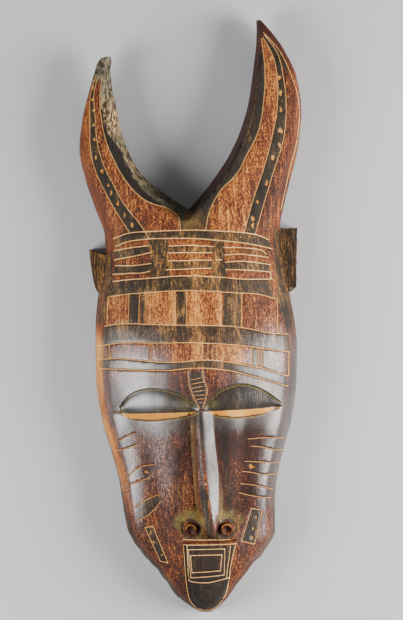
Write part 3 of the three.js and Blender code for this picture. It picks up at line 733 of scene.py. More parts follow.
def sheetOf(loop, points):
    # triangles that fill the loop, through all the points
    coords = [Vector(p) for p in np.vstack([loop, points])]
    result = delaunay_2d_cdt(coords, [], [list(range(len(loop)))], 1, 1e-5)
    xy = np.array([(v.x, v.y) for v in result[0]])
    faces = [tuple(face) for face in result[2]]
    origins = result[3]
    place = {source: index for index, sources in enumerate(origins) for source in sources}
    return xy, faces, [place[i] for i in range(len(loop))]


def wellInside(points, margin):
    points = points[inside(outline, *points.T)]
    return points[distanceToLoop(outline, *points.T) > margin]


def frontPoints():
    middles = [points for points, width, clean in cuts]
    rowSets = [featureRows(), middles]
    for side in (-1, 1):
        rowSets.append([besideLine(points, side * width / 2) for points, width, clean in cuts])
    spreads = [(np.vstack([resample(row, mesh["rowStep"]) for row in rows]), mesh["rowGap"])
               for rows in rowSets]
    spreads.append((evenSpread(outline, mesh["spacing"]), mesh["evenGap"]))
    inner = [(wellInside(points, 0.5), gap) for points, gap in spreads]
    ringSets = [(row, mesh["ringGap"]) for row in rings(outline, mesh["rings"])]
    return thinOut(inner[:1] + ringSets + inner[1:], outline)


# Where the mask is painted, worn, bare or rough
def between(upper, lower, upperSpan, lowerSpan):
    # shape between two forehead lines, from one place across to another
    def stretch(name, span):
        points = smoothLine(foreheadCuts[name], mesh["cutStep"])
        within = points[(points[:, 0] > span[0]) & (points[:, 0] < span[1])]
        ends = [(span[0], heightAt(name, span[0])), (span[1], heightAt(name, span[1]))]
        return np.vstack([ends[:1], within, ends[1:]])
    return np.vstack([stretch(upper, upperSpan), stretch(lower, lowerSpan)[::-1]])


namedCuts = {**cheekCuts, **hornCuts}


def area(first, second):
    # shape between two cuts that run the same way
    first, second = (smoothLine(namedCuts[name], mesh["shapeStep"]) for name in (first, second))
    return np.vstack([first, second[::-1]])


def onWall(cut, bevelLine):
    # the sloping inner side of a horn, from its worn corner down to the outline
    return np.vstack([smoothLine(hornCuts[cut], mesh["shapeStep"]), bevelLine])


leftBlock, gapOne, middleBlock, gapTwo, rightBlock = (-52, -28), (-28, -15), (-15, 14), (14, 22), (22, 52)
wholeBand = (-53, 52)
leftWall = onWall("leftFace", leftInside[::3])
rightWall = onWall("rightFace", rightInside[::-3])
chinPlate = smoothLine(mouthCuts["chinLine"], mesh["shapeStep"])
rightTemple = [(50.5, 249), (56, 247), (56.5, 226), (55, 212), (62, 187), (66, 200), (64, 225), (59, 249)]
leftTemple = [(-53, 250), (-58, 246), (-61, 225), (-66, 200), (-60, 199), (-56, 218), (-53, 228)]
rightHornEnd = [(55.5, 389), (63, 377.5), (66.6, 366), (70, 366), (64, 379), (56, 390)]
betweenHornFeet = [(-8, 270), (-6, 259), (9, 259), (12.5, 271), (0, 276)]
ladder = [(-5, 166), (4, 166), (6, 153), (3, 141), (0, 142), (-3, 150)]
# dark paint, how strong; a later shape goes over the ones before it
painted = [
    (between("bandTop", "bandFoot", (-51, 51), (-50, 53)), 0.7),
    (between("bandFoot", "blockFoot", gapOne, gapOne), 0.85),
    (between("bandFoot", "blockFoot", gapTwo, gapTwo), 0.8),
    (between("left1", "left2", leftBlock, leftBlock), 0.8),
    (between("left3", "left4", leftBlock, leftBlock), 0.75),
    (between("middle1", "middle2", middleBlock, middleBlock), 0.75),
    (between("middle3", "middle4", middleBlock, middleBlock), 0.75),
    (between("right1", "right2", rightBlock, rightBlock), 0.4),
    (between("right3", "right4", rightBlock, rightBlock), 0.75),
    (between("blockFoot", "panelTop", wholeBand, (-56, 54)), 0.9),
    (between("panelTop", "panelFoot", (-42, -36), (-43.5, -37.5)), 0.95),
    (between("panelTop", "panelFoot", (-35, -30), (-36.5, -32)), 0.55),
    (between("panelTop", "panelFoot", (-11, -5), (-11.5, -5.5)), 0.85),
    (between("panelTop", "panelFoot", (19.5, 31.5), (18.5, 30.5)), 0.75),
    (between("panelFoot", "rowTop", (-60, 63), (-65, 63)), 0.58),
    (between("rowTop", "rowFoot", (38, 40.5), (37.5, 40)), 0.7),
    (between("rowFoot", "browLine", (-67, 60), (-66, 60)), 0.6),
    (rightTemple, 0.75),
    (leftTemple, 0.5),
    (area("leftCheek1", "leftCheek2"), 0.38),
    (area("leftCheek3", "leftCheek4"), 0.4),
    (area("leftCheek5", "leftCheek6"), 0.6),
    (area("rightCheek1", "rightCheek2"), 0.42),
    (area("rightCheek3", "rightCheek4"), 0.42),
    (area("rightCheek5", "rightCheek6"), 0.42),
    (jawFrames[0], 0.95),
    (jawFrames[1], 0.85),
    (chinPlate, 1.0),
    (mouthFrames[0], 0.5),
    (area("leftOuter", "leftMiddle"), 0.95),
    (area("rightOuter", "rightStrip"), 0.9),
    (rightHornEnd, 0.9),
    (leftWall, 0.95),
    (rightWall, 0.85),
    (betweenHornFeet, 0.45),
    (earShapes[0], 0.62),
    (earShapes[1], 0.62),
    (ladder, 0.9),
]
# how much wood shows through the stain
thinned = [
    (between("panelTop", "panelFoot", (-57, -43), (-58.5, -44)), 0.64),
    (between("panelTop", "panelFoot", (-32, -12), (-32.5, -12)), 0.74),
    (between("panelTop", "panelFoot", (-4.7, 17.5), (-4.9, 17)), 0.66),
    (between("panelTop", "panelFoot", (32.5, 55), (31.5, 55)), 0.46),
    (between("rowTop", "rowFoot", (-30, 4), (-30, 4)), 0.52),
    (between("rowTop", "rowFoot", (14, 37), (14, 37)), 0.6),
    (between("rowTop", "rowFoot", (45, 62), (44, 61)), 0.3),
    (area("leftMiddle", "leftFace"), 0.48),
    (area("rightStrip", "rightFace"), 0.57),
    (area("rightOuter", "rightEdge"), 0.4),
    (chinPlate, 0.02),
    (area("leftOuter", "leftMiddle"), 0.25),
    (area("rightOuter", "rightStrip"), 0.25),
    (leftWall, 0.0),
    (rightWall, 0.1),
    (earShapes[0], 0.5),
    (earShapes[1], 0.62),
]
wearLine = smoothCurve([(0, 0.24), (40, 0.34), (80, 0.3), (125, 0.2), (150, 0.2), (172, 0.38), (225, 0.44),
                        (256, 0.46), (268, 0.5), (350, 0.5), (376, 0.36), (401, 0.08)])
polishLine = smoothCurve([(0, 0.15), (55, 0.2), (75, 0.5), (100, 0.8), (139, 1), (172, 1), (186, 0.6),
                          (198, 0.22), (215, 0.1), (250, 0.06), (300, 0.08), (401, 0.08)])


def softShape(shape, x, y, soft):
    value = np.zeros(len(x))
    shape = np.asarray(shape, float)
    low, high = shape.min(axis=0) - 2, shape.max(axis=0) + 2
    near = (x > low[0]) & (x < high[0]) & (y > low[1]) & (y < high[1])
    if near.any():
        nx, ny = x[near], y[near]
        away = distanceToLoop(shape, nx, ny)
        value[near] = ease(-soft, soft, np.where(inside(shape, nx, ny), away, -away))
    return value


def layered(value, shapes, x, y, soft):
    for shape, strength in shapes:
        value = mix(value, strength, softShape(shape, x, y, soft))
    return value


def bell(away, reach):
    # 1 at no distance, fading over the reach
    return np.exp(-(away / reach) ** 2)


def blob(x, y, cx, cy, rx, ry):
    return np.exp(-((x - cx) / rx) ** 2 - ((y - cy) / ry) ** 2)


def nostrilDistance(x, y):
    return np.minimum(*[np.hypot(x - nx, y - ny) for nx, ny in nostrils])


def pitDistance(x, y):
    return nostrilDistance(x, y + features["pitDrop"])


def paintAt(x, y):
    middle = axis(y)
    under = ease(112, 130, y) * (y < eyeLine - slitDepth(x)) * ease(0.95, 0.7, np.abs(across(x, y)))
    besideNose = bell(x - middle - 13, 4) * ease(60, 80, y) * ease(137, 128, y)
    leftColumn = bell(x - middle + 20, 6) * ease(60, 72, y) * ease(126, 112, y)
    # painted shade: a dark patch under the foot of the nose, above the mouth
    shadeUnderNose = blob(x, y, wings[0], noseFoot - 4, 17, 3.5)
    soft = np.maximum.reduce([0.45 * under, 0.5 * besideNose, 0.4 * leftColumn, 0.7 * shadeUnderNose])
    paint = layered(soft, painted, x, y, 0.5)
    # the right horn's inner wall is only painted along its upper half
    onRightWall = (x > forkX + 4) * ease(length, length + 12, y)
    paint = paint * (1 - 0.75 * onRightWall * ease(4.2, 2.8, distanceTo(innerLine, x, y)))
    arch = lidArch(x)
    onLid = (y > eyeLine) & (y < eyeLine + arch)
    # the lids are painted dark; the left lid's lighter value partly stands in for the highlight on it, a
    # painted highlight
    paint = np.where(onLid, np.where(x < 0, 0.62, 1.0), paint)
    # painted shadow: a thin dark line along the top of the step above each lid
    browStepShadow = bell(y - eyeLine - arch - 1.2, 0.45) * (arch > 0.4)
    # painted shade: a thin dark line along each lid's lower edge, over the cut beneath it
    lidEdgeShade = bell(y - eyeLine, 0.4) * (arch > 1.5)
    # painted shade: a dark ring in and beside the groove cut round each nostril
    ring = 0.9 * bell(nostrilDistance(x, y) - features["nostrilRadius"] - 1.5, 0.9)
    # painted shade: dark inside each nostril's pit
    pitShade = 0.4 * ease(features["pitRadius"] - 0.2, features["pitRadius"] - 1.2, pitDistance(x, y))
    aside = x - middle + ridgeShift(y)
    noseShade = 0.85 * (ease(-0.3, -1.2, aside) * ease(-6, -4.5, aside) * ease(100, 84, y)
                        * ease(noseFoot - 3, noseFoot + 2, y))
    ridge = 0.8 * (bell(x - middle + 1, 1.6) * ease(noseFoot - 4, noseFoot + 6, y) * ease(141, 134, y))
    leftSide = 0.4 * ease(0, 1, middle - x) * ease(noseSide(y), noseSide(y) - 1.5, middle - x)
    leftSide = leftSide * (y > noseFoot) * (y < eyeLine) * ease(90, 120, y)
    # painted shade: a dark band just inside the outline of the face, wider on the left than on the right,
    # stands in for the upright side in shadow
    reach = mix(4.6, 2.2, ease(60, 85, y)) + 0.8 * wander(x, y, 4, 33.5)
    reach = np.where(x > 0, 0.5 * reach, reach)
    rim = 0.8 * ease(reach, reach - 1.4, distanceTo(outerLine, x, y)) * ease(215, 190, y)
    paint = paint * (1 - 0.8 * ease(6, 2, y))
    return np.maximum.reduce([paint, rim, browStepShadow, lidEdgeShade, ring, pitShade, noseShade,
                              ridge * ease(100, 122, y), leftSide])


def wearAt(x, y):
    # how much wood shows through: streaks down the forehead, a worn left shoulder, a dark right lid
    fromSide = distanceTo(outerLine, x, y)
    wear = wearLine(y) + 0.12 * wander(x, y * 0.3, 6, 21.5)
    wear = layered(wear, thinned, x, y, 0.8)
    onForehead = ease(160, 172, y) * ease(262, 250, y)
    streaks = (bell(x - 1.5, 4) + 0.8 * bell(x - 27, 5) + 0.7 * bell(x + 14, 2.5)
               + 0.7 * bell(x - 17, 2.5))
    wear = wear + 0.28 * onForehead * np.minimum(streaks, 1)
    wear = np.where((x > axis(y)) & (y > eyeLine) & (y < eyeLine + lidArch(x)), 0.12, wear)
    shoulder = ease(8.5, 4, fromSide) * (x < 0) * ease(60, 125, y) * ease(205, 180, y)
    hornFoot = ease(256, 264, y) * ease(305, 275, y) * (x > 6)
    wear = wear + 0.5 * hornFoot * wander(x, y * 0.05, 1.7, 31.5)
    radius = features["nostrilRadius"]
    domes = -0.05 * ease(radius + 0.5, radius - 1, nostrilDistance(x, y))
    cheek = np.where(x > axis(y), -0.15, 0.08) * ease(60, 75, y) * ease(136, 125, y)
    chinFoot = 0.5 * ease(7, 2, y)
    rightShade = 0.2 * ease(9, 5, fromSide) * (x > 0) * ease(60, 100, y) * ease(215, 195, y)
    return np.clip(wear + 0.62 * shoulder + domes + cheek + chinFoot - rightShade, 0, 1)


def bareAt(x, y):
    # fresh orange wood: cuts under the lids, spots on the ridge and small hollows; the orange on the upper
    # crests of the nostrils is painted highlight
    below, above = y - (eyeLine - slitDepth(x)), eyeLine - 0.3 - y
    bare = ease(-0.1, 0.5, np.minimum(below - 0.5, above)) * ease(0.8, 2, lidArch(x))
    crest = bell(nostrilDistance(x, y) - 3.2, 0.6) * (pitDistance(x, y) > features["pitRadius"] - 0.3)
    # painted highlight: orange along the upper crests of the nostrils
    crestHighlight = 0.7 * crest * ease(noseFoot + 1.4, noseFoot + 3, y)
    ridgeSpots = 0
    for spotY, size in ((104, 2), (92, 3.6)):
        ridgeSpots = ridgeSpots + blob(x, y, axis(spotY) - ridgeShift(spotY) - 0.9, spotY, 0.9, size)
    hollows = 0.54 * ease(0, 0.3, notchAt(x, y))
    return np.maximum.reduce([bare, crestHighlight, hollows, 0.8 * np.minimum(ridgeSpots, 1)])


def rawAt(x, y):
    # rough wood without stain: inner edge and broken end of the left horn, and the ears' chips
    gap = distanceTo(innerLine, x, y)
    left = (x < forkX) & (y > length - 6)
    reach = mix(5, 9.5, ease(314, 330, y)) + 2.5 * ease(302, 286, y) + 1.3 * wander(x, y, 5, 15.5)
    raw = left * ease(reach + 0.8, reach - 0.8, gap)
    raw = raw * np.maximum(softShape(leftWall, x, y, 0.8), ease(1.8, 0.8, gap))
    tip = left * ease(359, 364, y + 2 * wander(x, y, 4, 17.5))
    chips = np.maximum(blob(x, y, -64.5, 219, 2.2, 3), blob(x, y, 67, 216, 3, 3.5))
    return np.clip(np.maximum(np.maximum(raw, tip), chips), 0, 1)


def paleAt(x, y):
    # the driest part of that rough wood
    rimPart = 0.35 * ease(330, 316, y) * ease(286, 300, y)
    return np.maximum(blob(x, y, -52, 337, 8, 14), rimPart) * rawAt(x, y)


def patinaAt(x, y):
    # yellow-green deposit round the nostrils, along the edges of the lids and beside the nose
    away, arch = nostrilDistance(x, y), lidArch(x)
    above = ease(noseFoot + 1, noseFoot + 6, y)
    ring = ease(mix(9.5, 15, above), mix(7, 10, above), away) * ease(6.2, 7.6, away)
    ring = ring * ease(noseFoot - 8, noseFoot + 4, y)
    ring = ring * np.clip(0.75 + 0.7 * wander(x, y, 4, 35.5), 0, 1)
    corners = 0.6 * blob(x, y, -8, 145, 4, 3) + 0.6 * blob(x, y, 10, 144, 3, 3) + blob(x, y, -51, 140, 3, 2)
    lidEdge = bell(y - eyeLine - arch - 0.1, 0.35) * (arch > 0.4)
    slitFoot = bell(y - eyeLine + slitDepth(x) + 0.1, 0.5) * (arch > 0.4)
    fork = 0.5 * blob(x, y, 0, 266, 7, 6)
    flank = bell(x - axis(y) - 6.9, 1.2) * ease(98, 74, y) * ease(noseFoot + 4, noseFoot + 10, y)
    leftFoot = bell(x - axis(y) + noseSide(y) - 0.2, 0.7) * (y > noseFoot + 8) * ease(138, 128, y)
    aside = x - axis(y) + ridgeShift(y)
    onTip = ease(-5.5, -4.5, aside) * ease(5, 3.8, aside) * ease(noseFoot - 3, noseFoot + 1, y)
    ring = np.maximum(ring * (1 - onTip), 0.6 * leftFoot)
    return np.clip(ring + 0.6 * corners + 0.6 * lidEdge + 0.75 * slitFoot + fork + 0.8 * flank, 0, 1)


def evenAt(x, y):
    # where the stain is smooth, with hardly any flecks
    outer = ease(9, 6, distanceTo(outerLine, x, y))
    onLeft = (x < 0) * ease(80, 120, y) * mix(1, 0.7, ease(200, 262, y))
    return np.clip(outer * np.maximum(onLeft, 0.7 * ease(262, 280, y)), 0, 1)


def polishAt(x, y):
    # how smooth and waxed the surface is
    off = np.abs(across(x, y))
    side = 0.3 * ease(0.5, 0.85, off) * ease(205, 190, y) * ease(55, 80, y)
    onRight = ease(-3, 6, x - axis(y))
    duller = 1 - mix(0.5, 0.9, onRight) * ease(0.85, 0.6, off) * ease(134, 118, y)
    onLid = (y > eyeLine) & (y < eyeLine + lidArch(x))
    duller = duller * mix(1, np.where(onLid, 0.25, mix(0.85, 0.62, ease(136, 150, y))), onRight)
    nostril = ease(6, 11, nostrilDistance(x, y))
    skin = np.minimum((polishLine(y) + side) * duller, 1) * mix(0.3, 1, nostril)
    aside = x - axis(y)
    onNose = (np.abs(aside) < noseSide(y)) & (y > noseFoot) & (y < eyeLine)
    leftPolish = mix(0.12, 0.36, ease(84, 100, y))
    rightPolish = mix(0.95, 0.6, np.clip(aside / noseSide(y), 0, 1))
    nose = np.where(x < axis(y) - ridgeShift(y), leftPolish, rightPolish)
    fromEdge = distanceTo(outerLine, x, y)
    skin = skin * np.where(x < 0, mix(0.3, 1, ease(4, 8.5, fromEdge)), 1)
    rightJaw = ease(26, 40, y) * ease(80, 62, y) * ease(0.3, 0.6, across(x, y))
    skin = np.maximum(skin, 0.5 * rightJaw)
    onPlate = (np.abs(aside) < plateHalf(y)) & (y < features["plateTop"])
    skin = skin * np.where(onPlate, 0.4, 1)
    return np.clip(np.where(onNose, nose, skin) - rawAt(x, y), 0, 1)


def hollowReach(y):
    # middle and half width of the hollow
    along = np.clip((y - hollowFoot) / (hollowTop - hollowFoot), 0, 1)
    rounding = np.sqrt(np.maximum(1 - np.abs(2 * along - 1) ** 6, 0))
    half = (rightEdge(y) - leftEdge(y)) / 2
    return (leftEdge(y) + rightEdge(y)) / 2, (half - back["rimWidth"]) * mix(0.35, 1, rounding)


def hollowPoints():
    rows = []
    for inset in (0, 0.25, 0.9, 2, 3.5):
        y = np.linspace(hollowFoot + inset, hollowTop - inset, 180)
        middle, reach = hollowReach(y)
        for side in (-1, 1):
            rows.append(np.column_stack([middle + side * (reach - inset), y]))
        for level in (hollowFoot + inset, hollowTop - inset):
            centre, half = hollowReach(level)
            rows.append(np.array([(centre - half + inset, level), (centre + half - inset, level)]))
    rows = np.vstack([resample(row, mesh["hollowRowStep"]) for row in rows])
    even = evenSpread(outline, mesh["backSpacing"])
    groups = [(wellInside(points, 0.9), gap)
              for points, gap in ((rows, mesh["hollowRowGap"]), (even, mesh["backGap"]))]
    return thinOut(groups, outline)


def backHeight(x, y):
    middle, reach = hollowReach(y)
    inset = np.minimum(np.minimum(reach - np.abs(x - middle), y - hollowFoot), hollowTop - y)
    slope = back["steepness"] * np.sqrt(np.maximum(inset, 0)) - 1
    ceiling = crown(x, y) - features["faceRecess"] * recessLine(y) * cheekFade(x, y) - back["wallThickness"]
    roof = softMin(slope, np.minimum(ceiling, sides(x, y) - back["wallThickness"]), back["round"]) - 1
    gouges = back["gougeDepth"] * wander(x, y * 0.5, 7, 14.5)
    hollow = np.where(inset > 0.3, np.maximum(roof + gouges * np.clip(inset / 4, 0, 1), 0), 0)
    return hollow + backLift(x, y)


def rimHeight(x, y):
    # height of the outline itself, raised along the ears
    onEar = np.zeros(len(x), bool)
    for shape in earShapes:
        onEar |= isOn(shape, x, y)
    outsideHead = (np.abs(across(x, y)) > 1.004) & (y < length)
    return np.where(onEar & outsideHead, features["earHeight"] - 0.8, edgeTop(x, y))


def carvingAt(x, y):
    # what is added to the smooth front's height: facets and grain, less what the knife cuts away
    share, clean = nearestCut(x, y)
    groove = clean * np.clip(1 - share, 0, 1)
    facets = knife["facetDepth"] * wander(x, y * 0.6, knife["facetSize"], 5.5)
    grain = knife["grainDepth"] * (1 - 0.85 * polishAt(x, y)) * wander(x, y * 0.25, 1.6, 6.5)
    slanted = wander(0.8 * x + 0.6 * y, 0.15 * (0.8 * y - 0.6 * x), 1.5, 26.5)
    marks = knife["markDepth"] * np.abs(slanted) * softShape(leftWall, x, y, 0.8)
    pits = rawAt(x, y) * knife["roughDepth"] * wander(x, y, 2.2, 8.5)
    ring = bell(nostrilDistance(x, y) - features["nostrilRadius"] - 0.8, 0.9)
    onJaw = ease(8, 3, distanceTo(outerLine, x, y)) * ease(80, 62, y) * ease(4, 12, y)
    chips = knife["jawChipDepth"] * onJaw * np.clip(wander(x, y, 4.5, 19.5) + 0.1, 0, 1)
    cutAway = (knife["lineDepth"] * groove + knife["notchDepth"] * notchAt(x, y)
               + knife["ringDepth"] * ring + chips)
    return facets + (grain - marks) + pits - cutAway


def frontSheet():
    xy, faces, rim = sheetOf(outline, frontPoints())
    x, y = xy.T
    edge = np.zeros(len(x), bool)
    edge[rim] = True
    z = np.where(edge, rimHeight(x, y), front(x, y)) + np.where(edge, 0, carvingAt(x, y))
    print("front:", len(xy), "points,", len(faces), "triangles")
    return np.column_stack([x, y, z]), faces, rim


def backSheet():
    xy, faces, rim = sheetOf(outline, hollowPoints())
    x, y = xy.T
    print("back:", len(xy), "points,", len(faces), "triangles")
    return np.column_stack([x, y, backHeight(x, y)]), faces, rim


def wallBetween(low, high):
    # faces between two rows of points round the outline
    ahead = [(i + 1) % len(low) for i in range(len(low))]
    return [(low[i], low[j], high[j], high[i]) for i, j in enumerate(ahead)]


def buildMask():
    frontPlaces, faces, frontRim = frontSheet()
    backPlaces, backFaces, backRim = backSheet()
    backStart, wallStart = len(frontPlaces), len(frontPlaces) + len(backPlaces)
    count = len(outline)
    foot = [backStart + i for i in backRim]
    rows = [[wallStart + k * count + i for i in range(count)] for k in range(2)]
    wallPlaces = []
    for level in (0.33, 0.67):
        bulge = 0.25 * wander(*outline.T, 5, 30 + level)
        height = mix(backPlaces[backRim, 2], frontPlaces[frontRim, 2], level)
        wallPlaces.append(np.column_stack([outline, height + bulge]))
    vertices = np.vstack([frontPlaces, backPlaces] + wallPlaces)
    faces = faces + [tuple(backStart + i for i in reversed(face)) for face in backFaces]
    for low, high in ((foot, rows[0]), rows, (rows[1], frontRim)):
        faces += wallBetween(low, high)

    lowCorner = np.array([trace(leftEdge, 0, leftTip)[:, 0].min(), 0, 0])
    shift = np.array(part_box("mask")[0]) - lowCorner * millimetre
    data = bpy.data.meshes.new("carvedMask")
    data.from_pydata((vertices * millimetre + shift).tolist(), [], faces)
    data.update()
    piece = bpy.data.objects.new("carvedMask", data)
    bpy.context.scene.collection.objects.link(piece)
    order = np.arange(len(vertices))
    paintLayers(data, *vertices[:, :2].T, order < backStart, (order >= backStart) & (order < wallStart))
    data.shade_smooth()
    return piece


def paintLayers(data, x, y, isFront, isBack):
    # what the material reads at each point; off the front, most of it is one value all over
    cutShare, cutClean = nearestCut(x, y)
    layers = {
        "cut": (cutClean * np.clip(1.2 - cutShare, 0, 1), 0.0),
        "paint": (paintAt(x, y), 0.45),
        "wear": (wearAt(x, y), 0.2),
        "bare": (bareAt(x, y), 0.0),
        "raw": (np.where(isBack, 0.75, rawAt(x, y)), None),
        "pale": (paleAt(x, y), None),
        "patina": (patinaAt(x, y), 0.0),
        "polish": (polishAt(x, y), 0.4),
        "even": (evenAt(x, y), 0.6),
    }
    for name, (values, elsewhere) in layers.items():
        if elsewhere is not None:
            values = np.where(isFront, values, elsewhere)
        layer = data.attributes.new(name, "FLOAT", "POINT")
        layer.data.foreach_set("value", values.astype(np.float32))


maskPiece = buildMask()


# Materials
def colour(r, g, b):
    return (r, g, b, 1)


wood = {
    "stain": [(0.0, colour(0.016, 0.006, 0.005)), (0.34, colour(0.05, 0.014, 0.007)),
              (0.56, colour(0.17, 0.042, 0.011)), (0.74, colour(0.42, 0.135, 0.022)),
              (0.95, colour(0.62, 0.28, 0.065))],
    "paint": [(0.0, colour(0.011, 0.008, 0.006)), (0.42, colour(0.034, 0.021, 0.011)),
              (0.64, colour(0.13, 0.07, 0.025)), (0.8, colour(0.36, 0.145, 0.028)),
              (1.0, colour(0.58, 0.25, 0.055))],
    "raw": [(0.3, colour(0.03, 0.025, 0.016)), (0.5, colour(0.1, 0.083, 0.052)),
            (0.75, colour(0.19, 0.155, 0.095))],
    "pale": [(0.4, colour(0.045, 0.03, 0.016)), (0.52, colour(0.33, 0.2, 0.085)),
             (0.85, colour(0.7, 0.48, 0.24))],
    "cutTan": colour(0.6, 0.31, 0.095), "cutCream": colour(0.84, 0.63, 0.34),
    "bare": colour(0.6, 0.23, 0.03), "bareLight": colour(0.75, 0.37, 0.08),
    "patina": colour(0.25, 0.2, 0.055),
    "fleckWidth": 0.00062, "fleckLength": 0.0015, "streakWidth": 0.001, "streakLength": 0.01,
    "pitSize": 0.0026, "broadScale": (90, 40, 90), "fineScale": (1400, 900, 1400),
    "bumpStrength": 0.4, "bumpHeight": 0.0004, "mattRoughness": 0.66, "specular": 0.22,
    "waxRoughness": 0.34, "waxIndex": 1.72,
}


class Nodes:
    # short ways to add and join shader nodes
    def __init__(self, name):
        self.material = bpy.data.materials.new(name)
        self.material.use_nodes = True
        self.tree = self.material.node_tree
        self.tree.nodes.clear()
        self.place = self.add("ShaderNodeTexCoord").outputs["Object"]

    def add(self, kind, **values):
        node = self.tree.nodes.new(kind)
        for name, value in values.items():
            setattr(node, name, value)
        return node

    def put(self, socket, value):
        if isinstance(value, bpy.types.NodeSocket):
            self.tree.links.new(value, socket)
        else:
            socket.default_value = value

    def fill(self, node, **sockets):
        # sockets by name, with an underscore for each space
        for name, value in sockets.items():
            self.put(node.inputs[name.replace("_", " ")], value)

    def attribute(self, name):
        return self.add("ShaderNodeAttribute", attribute_name=name).outputs["Fac"]

    def math(self, operation, a, b):
        node = self.add("ShaderNodeMath", operation=operation)
        self.put(node.inputs[0], a)
        self.put(node.inputs[1], b)
        return node.outputs[0]

    def times(self, a, b):
        return self.math("MULTIPLY", a, b)

    def reduced(self, start, value, weight):
        # start less a value times its weight
        return self.math("SUBTRACT", start, self.times(value, weight))

    def blend(self, share, a, b):
        node = self.add("ShaderNodeMix", data_type="RGBA")
        for place, value in ((0, share), (6, a), (7, b)):
            self.put(node.inputs[place], value)
        return node.outputs[2]

    def ramp(self, value, stops):
        node = self.add("ShaderNodeValToRGB")
        marks = node.color_ramp.elements
        while len(marks) < len(stops):
            marks.new(0.5)
        for mark, (place, tint) in zip(marks, stops):
            mark.position, mark.color = place, tint
        self.put(node.inputs[0], value)
        return node.outputs[0]

    def total(self, start, *parts):
        # start plus each value times its weight, where a value's middle is 0.5
        for value, weight in parts:
            centred = self.math("SUBTRACT", value, 0.5)
            start = self.math("ADD", start, self.times(centred, weight))
        return start

    def between(self, value, low, high):
        # 0 at low, 1 at high, smooth between
        node = self.add("ShaderNodeMapRange", interpolation_type="SMOOTHSTEP")
        self.fill(node, Value=value, From_Min=low, From_Max=high)
        return node.outputs["Result"]

    def noise(self, scale, roughness=0.55, detail=3.0, turn=0.0):
        mapping = self.add("ShaderNodeMapping")
        self.fill(mapping, Scale=scale, Rotation=(0, 0, turn), Vector=self.place)
        node = self.add("ShaderNodeTexNoise")
        self.fill(node, Scale=1.0, Detail=detail, Roughness=roughness, Vector=mapping.outputs[0])
        return node.outputs[0]

    def finished(self, shader):
        output = self.add("ShaderNodeOutputMaterial")
        self.fill(output, Surface=shader.outputs[0])
        return self.material


def lengthwise(width, reach):
    # scale of a pattern drawn out along the mask
    return (1 / width, 1 / reach, 1 / width)


def stainedWood():
    n = Nodes("stainedWood")
    fleckScale = lengthwise(wood["fleckWidth"], wood["fleckLength"])
    flecks = n.noise(fleckScale, 0.65)
    slanted = n.noise(fleckScale, 0.65, turn=0.6)
    streaks = n.noise(lengthwise(wood["streakWidth"], wood["streakLength"]), 0.6)
    broad = n.noise(wood["broadScale"])
    fine = n.noise(wood["fineScale"], 0.7)
    wear, paint, raw, cut = (n.attribute(name) for name in ("wear", "paint", "raw", "cut"))

    grain = n.total(0.5, (flecks, 1.6), (slanted, 0.8), (streaks, 1.1), (fine, 0.5))
    contrast = n.reduced(1.0, n.attribute("even"), 0.65)
    spread = n.times(n.math("SUBTRACT", grain, 0.5), contrast)
    shown = n.total(n.math("ADD", spread, 0.5), (wear, 0.8), (broad, 0.5))
    paintShown = n.total(0.46, (flecks, 1.0), (streaks, 1.3), (fine, 0.8), (wear, 0.8), (broad, 1.1))
    paintShare = n.between(n.total(paint, (fine, 0.7), (flecks, 0.5)), 0.25, 0.65)
    surface = n.blend(paintShare, n.ramp(shown, wood["stain"]), n.ramp(paintShown, wood["paint"]))

    patina = n.times(n.attribute("patina"), n.between(fine, 0.3, 0.62))
    surface = n.blend(patina, surface, wood["patina"])
    pitScale = (1 / wood["pitSize"], 0.6 / wood["pitSize"], 1 / wood["pitSize"])
    roughGrain = n.total(0.5, (n.noise(pitScale, 0.6), 2.2), (flecks, 0.6), (broad, 0.5))
    rough, dry = n.ramp(roughGrain, wood["raw"]), n.ramp(roughGrain, wood["pale"])
    rawShare = n.between(n.total(raw, (fine, 0.6)), 0.3, 0.7)
    surface = n.blend(rawShare, surface, n.blend(n.attribute("pale"), rough, dry))
    bareShare = n.between(n.total(n.attribute("bare"), (fine, 0.4)), 0.35, 0.65)
    bareTint = n.blend(n.between(broad, 0.35, 0.65), wood["bare"], wood["bareLight"])
    surface = n.blend(bareShare, surface, bareTint)
    cutShare = n.between(n.total(cut, (fine, 0.7), (flecks, 0.3)), 0.4, 0.72)
    cutPaleness = n.between(n.total(cut, (broad, 0.8)), 0.7, 1.0)
    surface = n.blend(cutShare, surface, n.blend(cutPaleness, wood["cutTan"], wood["cutCream"]))

    # wax lies on the polished skin, and not in cuts, hollows or rough wood
    matt = n.math("MAXIMUM", n.math("MAXIMUM", n.between(cut, 0.06, 0.32), bareShare), raw)
    worn = n.between(n.total(n.attribute("polish"), (grain, 0.5), (broad, 0.3)), 0.1, 1.15)
    wax = n.times(worn, n.math("SUBTRACT", 1.0, matt))
    shine = n.total(n.reduced(wood["mattRoughness"], wax, 0.3), (grain, 0.1))
    roughness = n.math("ADD", shine, n.times(matt, 0.2))
    relief = n.total(0.5, (flecks, 0.6), (fine, 0.3), (streaks, 0.3))
    bump = n.add("ShaderNodeBump")
    n.fill(bump, Strength=wood["bumpStrength"], Distance=wood["bumpHeight"],
           Height=n.times(relief, n.reduced(1.0, wax, 0.6)))

    shader = n.add("ShaderNodeBsdfPrincipled")
    n.fill(shader, Base_Color=surface, Roughness=roughness, Normal=bump.outputs[0], Coat_Weight=wax,
           Specular_IOR_Level=wood["specular"], Coat_Roughness=wood["waxRoughness"],
           Coat_IOR=wood["waxIndex"])
    return n.finished(shader)


maskPiece.data.materials.append(stainedWood())
bpy.context.view_layer.objects.active = maskPiece
maskPiece.select_set(True)
bpy.ops.object.shade_smooth_by_angle(angle=math.radians(mesh["smoothAngle"]))
maskPiece.select_set(False)
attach(maskPiece, "root")
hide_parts("mask")
print("mask placed and finished")

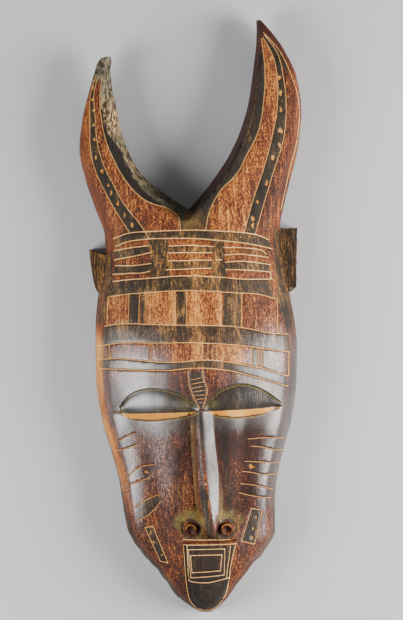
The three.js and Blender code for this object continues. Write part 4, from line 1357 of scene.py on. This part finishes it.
# Table, light and camera
studio = {
    "floorSize": 4.0, "floorDark": colour(0.46, 0.46, 0.465), "floorLight": colour(0.51, 0.51, 0.515),
    "floorRoughness": 0.8, "room": colour(0.93, 0.95, 1.0), "roomStrength": 0.22, "cameraHeight": 1.3,
    "frameHeight": 0.426, "lookAt": (0.00258, 0.0055), "turn": 2.35,
}


def paperFloor():
    n = Nodes("paperFloor")
    surface = n.blend(n.noise((3, 3, 3), detail=2), studio["floorDark"], studio["floorLight"])
    shader = n.add("ShaderNodeBsdfPrincipled")
    n.fill(shader, Base_Color=surface, Roughness=studio["floorRoughness"])
    return n.finished(shader)


bpy.ops.mesh.primitive_plane_add(size=studio["floorSize"])
floor = bpy.context.object
floor.name = "floor"
floor.data.materials.append(paperFloor())


def softLight(name, place, size, power, tint):
    data = bpy.data.lights.new(name, "AREA")
    data.shape = "RECTANGLE"
    data.size, data.size_y = size
    data.energy = power
    data.color = tint
    lamp = bpy.data.objects.new(name, data)
    lamp.location = place
    lamp.rotation_euler = (Vector((0, 0, 0.03)) - Vector(place)).to_track_quat("-Z", "Y").to_euler()
    bpy.context.scene.collection.objects.link(lamp)


softLight("rightWindow", (0.73, -0.12, 0.42), (0.55, 0.55), 20, (1.0, 0.985, 0.965))
softLight("leftWindow", (-0.59, -0.15, 0.49), (0.38, 0.42), 8.5, (0.96, 0.98, 1.0))
world = bpy.data.worlds.new("room")
world.use_nodes = True
world.node_tree.nodes["Background"].inputs["Color"].default_value = studio["room"]
world.node_tree.nodes["Background"].inputs["Strength"].default_value = studio["roomStrength"]
bpy.context.scene.world = world

cameraData = bpy.data.cameras.new("camera")
cameraData.sensor_fit = "VERTICAL"
cameraData.angle = 2 * math.atan(studio["frameHeight"] / 2 / studio["cameraHeight"])
camera = bpy.data.objects.new("camera", cameraData)
camera.location = (*studio["lookAt"], studio["cameraHeight"])
camera.rotation_euler = (0, 0, -math.radians(studio["turn"]))
bpy.context.scene.collection.objects.link(camera)
bpy.context.scene.camera = camera
print("studio ready")
